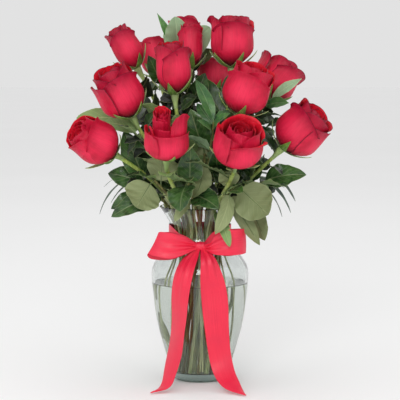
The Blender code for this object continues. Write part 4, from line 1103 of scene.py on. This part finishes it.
def blade_grid(base, along, across, up, length, width, kind, wave, rows, columns):
    """A leaf's middle surface, rows from base to tip: folded along its rib, arched, waved and toothed."""
    s = np.linspace(-1, 1, columns)[None, :]
    t = np.linspace(0.0, 1.0, rows)[:, None]
    widest = kind.near / (kind.near + kind.far)
    outline = (t / widest) ** kind.near * ((1 - t) / (1 - widest)) ** kind.far
    bite = kind.bite * (np.mod(t * kind.teeth, 1.0) - 0.5) if kind.teeth else 0.0
    half = np.maximum(width / 2 * outline * (1 + bite), 0.0003)
    ripple = width * 0.07 * np.sin(2 * math.pi * (1.3 * t + wave) + s) * outline
    ripple = ripple + width * 0.030 * np.sin(2 * math.pi * (4.1 * t + 2 * wave) + 2 * s) * outline
    lift = kind.arch * length * 4 * t * (1 - t) + half * kind.fold * np.abs(s) + ripple * s**2
    along, across, up = (np.array(v) for v in (along, across, up))
    flat = np.array(base) + along * (length * t)[..., None] + across * (half * s)[..., None]
    return flat + up * lift[..., None]


def leaf_grid(leaf, size=BLADE):
    sizes = (leaf.tip - leaf.base).length, leaf.width
    return blade_grid(leaf.base, *leaf_frame(leaf), *sizes, KINDS[leaf.kind], leaf.wave, *size)


def leaf_onto(sheets, leaf, grid, tone, pale=False):
    """A leaf's blade with its stalk, which runs on as a rib under it."""
    sheets.add(grid, LEAF_SHEET, tone, pale)
    start = np.array([leaf.root, leaf.root.lerp(leaf.base, 0.5), leaf.base])
    rib = np.concatenate([start, grid[2:-4:4, grid.shape[1] // 2]])
    rib[3:] -= np.array(leaf_frame(leaf)[2]) * (LEAF_SHEET * 0.6)
    sheets.tube(rib, np.linspace(STALK, STALK * 0.35, len(rib)), tone, STALK_SIDES)


class Room:
    """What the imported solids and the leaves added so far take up, for finding room for more leaves."""

    def __init__(self):
        self.solids = self.tree_of(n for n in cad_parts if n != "water")
        self.blooms = self.tree_of(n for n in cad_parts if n.startswith("bloom_"))
        self.leaves = []

    def tree_of(self, names):
        points, faces = [], []
        for name in names:
            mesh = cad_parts[name].data
            faces += [[v + len(points) for v in face.vertices] for face in mesh.polygons]
            points += [vertex.co for vertex in mesh.vertices]
        return BVHTree.FromPolygons(points, faces)

    def hides_bloom(self, grid):
        """Whether a leaf stands between a bloom and the photograph's camera."""
        eye = Vector(CAMERA_PLACE)
        spots = [Vector(p) for p in grid[:: len(grid) // 4, 1::5].reshape(-1, 3)]
        return any(self.blooms.ray_cast(p, p - eye)[0] for p in spots)

    def reaches_out(self, grid):
        """Whether a leaf reaches out of the room for leaves that fill the bunch."""
        x, y, z = grid.reshape(-1, 3).T
        left, right, front, back = (np.interp(z, FILL_ROOM[:, 0], ends) for ends in FILL_ROOM.T[1:])
        low, high = FILL_ROOM[0, 0] - FILL_HANG, FILL_ROOM[-1, 0]
        return bool(np.any((x < left) | (x > right) | (y < front) | (y > back) | (z < low) | (z > high)))

    def takes(self, grid):
        """Whether a leaf clears all that stands there. If it does, it takes its room."""
        rows, columns = np.linspace(3, len(grid) - 1, 6), np.linspace(0, grid.shape[1] - 1, 3)
        coarse = grid[rows.astype(int)][:, columns.astype(int)]
        off = normals_of(coarse) * LEAF_AIR
        sides = np.concatenate([coarse + off, coarse - off]).reshape(-1, 3)
        faces = [(i, i + 1, i + 4, i + 3) for r in range(11) if r != 5 for i in (3 * r, 3 * r + 1)]
        tree, middle = BVHTree.FromPolygons([Vector(p) for p in sides], faces), Vector(sides.mean(axis=0))
        near = (other for place, other in self.leaves if (place - middle).length < NEAR_LEAF)
        if tree.overlap(self.solids) or any(tree.overlap(other) for other in near):
            return False
        self.leaves.append((middle, tree))
        return True


def extra_leaves(name, path, sheets, room):
    """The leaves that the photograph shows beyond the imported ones, each at the first try that has room."""
    kind, rows = EXTRA_LEAVES.get(name, ("rose", ()))
    pale = kind in PALE_KINDS
    for number, plan in enumerate(planned(*row) for row in rows):
        for leaf in leaf_tries(kind, along_stem(path, plan.at), plan, f"{name} extra {number}"):
            grid = leaf_grid(leaf)
            if room.takes(grid):
                leaf_onto(sheets, leaf, grid, EXTRA_TONE[pale], pale)
                break


def fill_leaves(name, kind, path, sheets, room):
    """Leaves up a stem, turned round it as they grow, wherever one fits and hides no bloom from the front."""
    draw = random.Random(name + " fill")
    turn, run = draw.uniform(0, 360), 0.0
    for before, after in zip(path, path[1:]):
        run += (after - before).length
        if run < FILL_SPACING or before.z < FILL_LOWEST:
            continue
        run = 0.0
        turn += GOLDEN_ANGLE
        ahead = (after - before).normalized()
        side = ahead.orthogonal().normalized()
        for _ in range(FILL_TRIES):
            heading = math.radians(turn + draw.uniform(-FILL_SWING, FILL_SWING))
            out = Matrix.Rotation(heading, 3, ahead) @ side
            out = (out + ahead * draw.uniform(*FILL_LEAN)).normalized()
            length = draw.uniform(*FILL_LENGTH)
            base, tip = before + out * KINDS[kind].stalk * draw.uniform(*FILL_OFF), before + out * length
            face = Vector((before.x, before.y - 0.04, 0)).normalized() + Vector((0, 0, 0.7))
            leaf = Leaf(kind, before, base, tip, length * draw.uniform(*FILL_WIDTH), 0.0, face, draw.random())
            grid = leaf_grid(leaf, FILL_BLADE)
            if not room.reaches_out(grid) and not room.hides_bloom(grid) and room.takes(grid):
                # Its tone is below zero: painted shade, as it stands deep in the bunch
                leaf_onto(sheets, leaf, grid, draw.uniform(*FILL_PAINTED_SHADE))
                break


def spray_pieces(spray, tree, twig_material, leaf_material, room):
    path, fine = (stem_path(spray, spray.head, count) for count in (STEM_STEPS, STEM_RUNS))
    slot = spray.kind.replace("narrow", "narrow_leaf") + "_green"
    stand_for(grown(spray.name + "_twig", fine, tree, spray.radius, twig_material), slot, spray.name)
    corners = corners_of(spray.name)
    draw = random.Random(spray.name)
    sheets = Sheets()
    for number, plan in enumerate(spray.leaves):
        tries = leaf_tries(spray.kind, along_stem(path, plan.at), plan, f"{spray.name} {number}")
        found = standing(tries, lambda leaf: leaf.tip, corners)
        if found and number in FULLER_LEAVES.get(spray.name, ()):
            found = found._replace(kind="round", width=found.width * FULLER_WIDTH)
        if found:
            pale = number in PALE_LEAVES.get(spray.name, ())
            leaf_onto(sheets, found, leaf_grid(found), draw.random(), pale)
    extra_leaves(spray.name, path, sheets, room)
    if spray.kind != "narrow":
        fill_leaves(spray.name, spray.kind, fine, sheets, room)
    stand_for(sheets.piece(spray.name + "_leaves", leaf_material), slot)


# Rose stems with their hips, sepals and leaves


def frond_tries(rose, path, number):
    """Rose leaves of three leaflets each, at a place along the stem, in a fixed order of tries."""
    draw = random.Random(f"{rose.name} frond {number}")
    for i in range(FROND_TRIES):
        root = along_stem(path, FROND_FIRST + FROND_APART * number + draw.uniform(*FROND_SHIFT))
        heading = math.atan2(path[-1].y, path[-1].x) + draw.uniform(-FROND_SWING, FROND_SWING)
        out = Vector((math.cos(heading), math.sin(heading), draw.uniform(*FROND_RISE))).normalized()
        yield root, out, draw.uniform(-FROND_ROLL, FROND_ROLL), 1 - FROND_LESS * i / FROND_TRIES


def frond_frame(out, roll):
    across = out.cross(Vector((0, 0, 1))).normalized()
    up = Matrix.Rotation(roll, 3, out) @ across.cross(out)
    return out.cross(up), up


def frond_tip(frond):
    root, out, roll, size = frond
    up = frond_frame(out, roll)[1]
    return root + (out * FROND_LENGTH - up * FROND_DROP) * size


def frond_onto(sheets, frond, draw):
    """A rose leaf: its rib, a leaflet to each side, and the large one at its end."""
    root, out, roll, size = frond
    across, up = frond_frame(out, roll)
    tone = draw.uniform(-0.5, 0.3)
    rib = [root + (out * reach + up * 0.003 * math.sin(reach * 60)) * size for reach in FROND_RIB]
    sheets.tube(rib, np.linspace(STALK, STALK * 0.6, len(rib)), tone, STALK_SIDES)
    for at, side, ahead, length, width in LEAFLETS:
        base = root + (out * at + up * 0.002) * size
        along = frond_tip(frond) - base
        if side:
            along = across * side * (length - ahead * 0.2) + out * ahead * 0.6
        along.normalize()
        flank = along.cross(up).normalized()
        frame_of, sizes = (base, along, flank, flank.cross(along)), (length * size, width * size)
        grid = blade_grid(*frame_of, *sizes, KINDS["leaflet"], draw.random(), *LEAFLET_BLADE)
        sheets.add(grid, LEAF_SHEET, tone)


def sepal_tries(rose, k):
    """Sepals that lie under the bloom, then ones that stand further off it."""
    place, angle = bloom_place(rose), turn_of(rose, 360 / SEPALS * k + SEPAL_TURN)
    length = SEPAL_SHARE + SEPAL_MORE * random.Random(f"{rose.name} sepal {k}").random()
    for i in range(LEAF_TRIES):
        yield place, angle, SEPAL_OFF + SEPAL_OFF_STEP * i, length - SEPAL_LESS * i


def sepal_spine(rose, off, length):
    """Radius and height of a sepal's line from the hip to its tip, in the bloom's own frame."""
    spine = [(HIP_RADIUS * 0.60, -0.0026)]
    for share in (0.16, 0.60):
        rise = share * length
        reach = rose.radius * 1.08 * belly(rise) + off * (0.6 + share)
        spine.append((reach, rose.height * rise * 0.9 - 0.0010))
    return [*spine, (rose.radius * 1.12 + off * 2.2, rose.height * length * 0.9)]


def sepal_tip(rose, sepal):
    place, angle, off, length = sepal
    radius, height = sepal_spine(rose, off, length)[-1]
    return place @ Vector((math.cos(angle) * radius, math.sin(angle) * radius, height))


def sepal_grid(rose, sepal):
    """A sepal: broad at the hip, drawn out to a fine point, and cupped round the bloom."""
    place, angle, off, length = sepal
    line = through(sepal_spine(rose, off, length), 6)[:SEPAL_ROWS]
    radius, height = line[:, :1], line[:, 1:]
    t = np.linspace(0, 1, len(line))[:, None]
    s = np.linspace(-1, 1, SEPAL_COLUMNS)[None, :]
    half = SEPAL_WIDTH * 0.64 * np.interp(t, (0, 0.20, 0.40, 0.75, 1.0), (0.62, 1.0, 0.92, 0.46, 0.04))
    cup = radius - half * 0.30 * s**2
    out = np.array((math.cos(angle), math.sin(angle), 0))
    side = np.array((-math.sin(angle), math.cos(angle), 0))
    grid = out * cup[..., None] + side * (half * s)[..., None]
    return carried(grid + np.array((0, 0, 1)) * (height + 0 * s)[..., None], place)


def stem_pieces(rose, tree, stem_material, sepal_material, leaf_material, room):
    head = bloom_foot(rose) - Vector(rose.facing).normalized() * (HIP_LENGTH * 0.5 + GAP)
    path, fine = (stem_path(rose, head, count) for count in (STEM_STEPS, STEM_RUNS))
    stem = grown("thorny_stem_" + rose.name, fine, tree, STEM_RADIUS, stem_material, rose.turn, THORNS)
    stand_for(stem, "rose_green", "stem_" + rose.name)
    corners = corners_of("stem_" + rose.name)
    place, calyx = bloom_place(rose), Sheets()
    rises = np.linspace(HIP_LENGTH * HIP_OUTLINE[0][0], -GAP, HIP_ROWS)
    swell = np.interp(rises / HIP_LENGTH, *zip(*HIP_OUTLINE))
    calyx.tube([place @ Vector((0, 0, z)) for z in rises], HIP_RADIUS * swell, CALYX_TONE, HIP_SIDES)
    for k in range(SEPALS):
        sepal = standing(sepal_tries(rose, k), lambda one: sepal_tip(rose, one), corners)
        if sepal:
            calyx.add(sepal_grid(rose, sepal), SEPAL_SHEET, CALYX_TONE)
    stand_for(calyx.piece("hip_and_sepals_" + rose.name, sepal_material), "rose_green")
    draw, sheets = random.Random(rose.name), Sheets()
    for number in range(rose.fronds):
        frond = standing(frond_tries(rose, path, number), frond_tip, corners)
        if frond:
            frond_onto(sheets, frond, draw)
    extra_leaves(rose.name, path, sheets, room)
    fill_leaves(rose.name, "rose", fine, sheets, room)
    stand_for(sheets.piece("leaves_" + rose.name, leaf_material), "rose_green")


def bare_stalks(tree, material):
    """Thin stalks without leaves that lean against the vase's neck and bow outwards in the water."""
    for number, (angle, twist, reach) in enumerate(BARE_STALKS):
        places = []
        for share in np.linspace(0, 1, BARE_PLACES):
            height = VASE_FLOOR + 0.003 + (STALK_TOP - VASE_FLOOR) * share
            radius = room = vase_radius(height) - VASE_WALL - BARE_AIR[0]
            if share <= 0.8:
                bow = math.sin(math.pi * min(1.0, share * 1.25))
                radius = min(room, STALK_STAND + (reach * STALK_BOW - STALK_STAND) * bow)
            heading = math.radians(angle + twist * (1 - share))
            places.append((radius * math.cos(heading), radius * math.sin(heading), height))
        line = [Vector(p) for p in through(places, BARE_STEPS)]
        for point in line:
            room = vase_radius(point.z) - VASE_WALL - BARE_AIR[1]
            if math.hypot(point.x, point.y) > room:
                point.xy = point.xy.normalized() * room
        stalk = grown(f"bare_stalk_{number + 1}", line, tree, BARE_RADIUS, material, number)
        stand_for(stalk, "rose_green")


# Vase and water


def vase_radius(height):
    radii, heights = zip(*VASE_OUTLINE)
    return float(np.interp(height, heights, radii))


def vase(material):
    outside = through(VASE_OUTLINE, VASE_STEPS)
    slope = np.gradient(outside, axis=0)
    normal = np.stack((slope[:, 1], -slope[:, 0]), axis=1) / np.linalg.norm(slope, axis=1, keepdims=True)
    inside = outside - normal * VASE_WALL
    outer, inner, floor = outside[-1][0], inside[-1][0], inside[0][0]
    wall = [p for p in inside[::-1] if VASE_FLOOR + 0.002 < p[1] < VASE_HEIGHT - 0.004]
    profile = [
        *VASE_FOOT, (outside[0][0] + 0.0006, VASE_DISH),
        *(p for p in outside if 0.003 < p[1] < VASE_HEIGHT - 0.002),
        (outer - RIM_BEVEL * 0.4, VASE_HEIGHT - RIM_BEVEL), (outer - RIM_BEVEL * 1.4, VASE_HEIGHT),
        (inner + RIM_BEVEL * 0.6, VASE_HEIGHT), (inner - RIM_BEVEL * 0.4, VASE_HEIGHT - RIM_BEVEL),
        *wall, (wall[-1][0] - 0.0015, VASE_FLOOR + 0.0004),
        (floor * 0.9, VASE_FLOOR), (floor * 0.5, VASE_FLOOR), (0.0, VASE_FLOOR),
    ]
    profile = [(max(float(r), 0.0), float(h)) for r, h in profile]
    made = mesh_piece("clear_glass_vase", *turned(profile, VASE_SIDES), material, GLASS_SHARP)
    return stand_for(made, "vase_glass", "vase")


def water(material):
    """Reaches a little into the glass, so that no air shows between them, and climbs it at its rim."""
    heights = np.linspace(VASE_FLOOR - INTO_GLASS, WATER_LEVEL + MENISCUS, 26)
    outside = through(VASE_OUTLINE, VASE_STEPS)
    radii = np.interp(heights, outside[:, 1], outside[:, 0]) - VASE_WALL + INTO_GLASS
    side = list(zip(radii.tolist(), heights.tolist()))
    edge = radii[-1]
    top = [(edge - 0.0012, WATER_LEVEL + MENISCUS * 0.35), (edge - 0.0030, WATER_LEVEL), (0.0, WATER_LEVEL)]
    profile = [(0.0, heights[0]), *side, *top]
    made = mesh_piece("still_water", *turned(profile, VASE_SIDES), material, GLASS_SHARP)
    return stand_for(made, "clear_water", "water")


# Ribbon


def band_edges():
    """The band round the neck, from the knot right round to it again, narrow at the knot."""
    edges = []
    for i in range(BAND_STEPS + 1):
        turn = 2 * math.pi * i / BAND_STEPS - math.pi / 2
        front = float(smooth_step(1 - abs(abs(turn - math.pi / 2) - math.pi) / 1.3))
        width = BAND_WIDTH * (1 - front) + BAND_PINCH * front
        middle = BAND_HEIGHT * (1 - front) + (KNOT.z + 0.001) * front
        reach = max(vase_radius(middle + share * width / 2) for share in (-1, 0, 1))
        radius = reach + 2 * GAP + RIBBON_SHEET + 0.002 * front
        flat = Vector((math.cos(turn), math.sin(turn), 0)) * radius / math.cos(math.pi / BAND_STEPS)
        edges.append((flat + Vector((0, 0, middle - width / 2)), flat + Vector((0, 0, middle + width / 2))))
    return edges


def cloth_grid(edges, spans, bulge, folds, sway=0.0, phase=0.0, columns=CLOTH_COLUMNS):
    """Cloth between two edge lines.

    It bulges across, is gathered in folds that fade from its first end, and sways in long slanting waves.
    """
    left, right = (through([tuple(pair[k]) for pair in edges], spans)[:, None] for k in (0, 1))
    s = np.linspace(0, 1, columns)[None, :, None]
    flat = left * (1 - s) + right * s
    t = np.linspace(0, 1, len(flat))[:, None, None]
    gather = folds * np.cos(2 * math.pi * 2.5 * s) * np.sin(math.pi * s)
    gather = gather * (1 - smooth_step(t * 2.2)) * smooth_step(t * 14)
    wave = sway * np.sin(2 * math.pi * (2.4 * t + phase) + 1.6 * s)
    wave = wave * smooth_step(t * 5) * smooth_step((1 - t) * 5)
    return flat + normals_of(flat) * (bulge * np.sin(math.pi * s) * smooth_step(t * 6) + gather + wave)


def ribbon(material):
    sheets, knot = Sheets(), Sheets()
    for side in ("left", "right"):
        tip = Vector(TAIL_TIPS[side])
        tail = [*TAILS[side], (tip - TIP_HALF, tip + TIP_HALF)]
        sheets.add(cloth_grid(tail, CLOTH_SPANS, *TAIL_SHAPE, *TAIL_SWAY[side]), RIBBON_SHEET)
        sheets.add(cloth_grid(LOOPS[side], CLOTH_SPANS, *LOOP_SHAPE), RIBBON_SHEET)
    sheets.add(cloth_grid(band_edges(), BAND_SPANS, 0.0, 0.0, columns=BAND_COLUMNS), RIBBON_SHEET)
    made = stand_for(sheets.piece("satin_ribbon", material), "red_satin", "ribbon")
    knot.add(knot_grid(), RIBBON_SHEET)
    tied = stand_for(knot.piece("satin_knot", material), "red_satin")


def knot_grid():
    """The short turn of ribbon drawn tight over the knot, with folds running round it."""
    turn = np.linspace(-0.1, 2 * math.pi - 0.1, KNOT_ROWS)[:, None]
    s = np.linspace(-1, 1, KNOT_COLUMNS)[None, :]
    folds = 1 + 0.07 * np.cos(3.2 * math.pi * s + 0.8 * np.sin(turn))
    waist = (1 - 0.35 * np.abs(s) ** 3) * folds
    x = KNOT_HALF[0] * s * (1 + 0.12 * np.cos(turn))
    y = -KNOT_HALF[1] * np.cos(turn) * waist
    z = KNOT_HALF[2] * np.sin(turn) * waist
    return np.array(KNOT) + np.stack((x, y, z), axis=-1)


# Studio


def studio(material):
    """A wide floor, a pale room all round it, and its soft lamps."""
    mesh_piece("floor", *turned([(radius, 0.0) for radius in FLOOR_RINGS], FLOOR_SIDES), material)
    for name, place, aim, size, power, seen in LAMPS:
        lamp = bpy.data.lights.new(name, "AREA")
        lamp.size, lamp.energy = size, power
        held = placed(name, lamp)
        held.location = place
        held.visible_transmission = seen
        held.rotation_euler = (Vector(aim) - Vector(place)).to_track_quat("-Z", "Y").to_euler()
    world = bpy.data.worlds.new("soft_room")
    world.use_nodes = True
    node = partial(add, world.node_tree)
    height = node("parts", node("spots").outputs["Generated"]).outputs["Z"]
    sky = node("blend", node("fade", height, 0.0, 0.8), "#E2E2E2", "#E8E8E8")
    fill(world.node_tree.nodes["Background"], sky)
    bpy.context.scene.world = world
    bpy.context.scene.view_settings.view_transform = "Standard"


def camera():
    data = bpy.data.cameras.new("camera")
    data.lens, data.sensor_width = CAMERA_LENS, CAMERA_WIDTH
    made = placed("camera", data)
    made.location = CAMERA_PLACE
    made.rotation_euler = (math.radians(90 - CAMERA_DOWN), 0, 0)
    bpy.context.scene.camera = made


def main():
    petal, stem = rose_petal(), rose_stem()
    brown = thin_stalk("brown_green_twig", 0.003, 4.0, "#4B4A26", "#7C7A42", 0.62, 0.0004)
    rose_leaf = leaf("toothed_rose_leaf", "#33591F", "#183414", "#6E8850", "#B4C084", 0.36, 9.0, 2.2)
    sepal = leaf("downy_rose_sepal", "#7FA642", "#54802C", "#98B46A", "#DDE2B6", 0.50, 3.0, 7.0)
    leaves = {
        "salal": leaf("leathery_salal_leaf", "#40602F", "#1E3A1A", "#788258", "#A3AC7E", 0.26, 7.0, 2.6),
        "ruscus": leaf("ruscus_leaf", "#4E7C3C", "#2C5A2E", "#86A47C", "#B0C898", 0.36, 5.0, 6.0),
        "narrow": leaf("grey_green_strap_leaf", "#5A6B5A", "#34463C", "#7C8A7C", "#97A492", 0.50, 3.0, 9.0),
    }
    # The darker tint at the foot is partly thick glass and partly painted shade along its lower edge
    vase(see_through("clear_soda_glass", "#F6F8F7", "#8A9A94", 1.50, "#F0F4F2", "#8FA79E", 24.0))
    water(see_through("still_tap_water", "#F6F8F4", "#F6F8F4", 1.33, "#F6F8F4", "#B4BCA8", 1.8))
    ribbon(satin())
    tree, room = stem_tree(), Room()
    for rose in ROSES:
        bloom(rose, petal)
        stem_pieces(rose, tree, stem, sepal, rose_leaf, room)
    for spray in SPRAYS:
        spray_pieces(spray, tree, brown, leaves[spray.kind], room)
    bare_stalks(tree, thin_stalk("stripped_pale_stalk", 0.004, 3.0, "#A0AA74", "#C8CC9C", 0.50, 0.0003))
    studio(studio_paper())
    camera()


main()
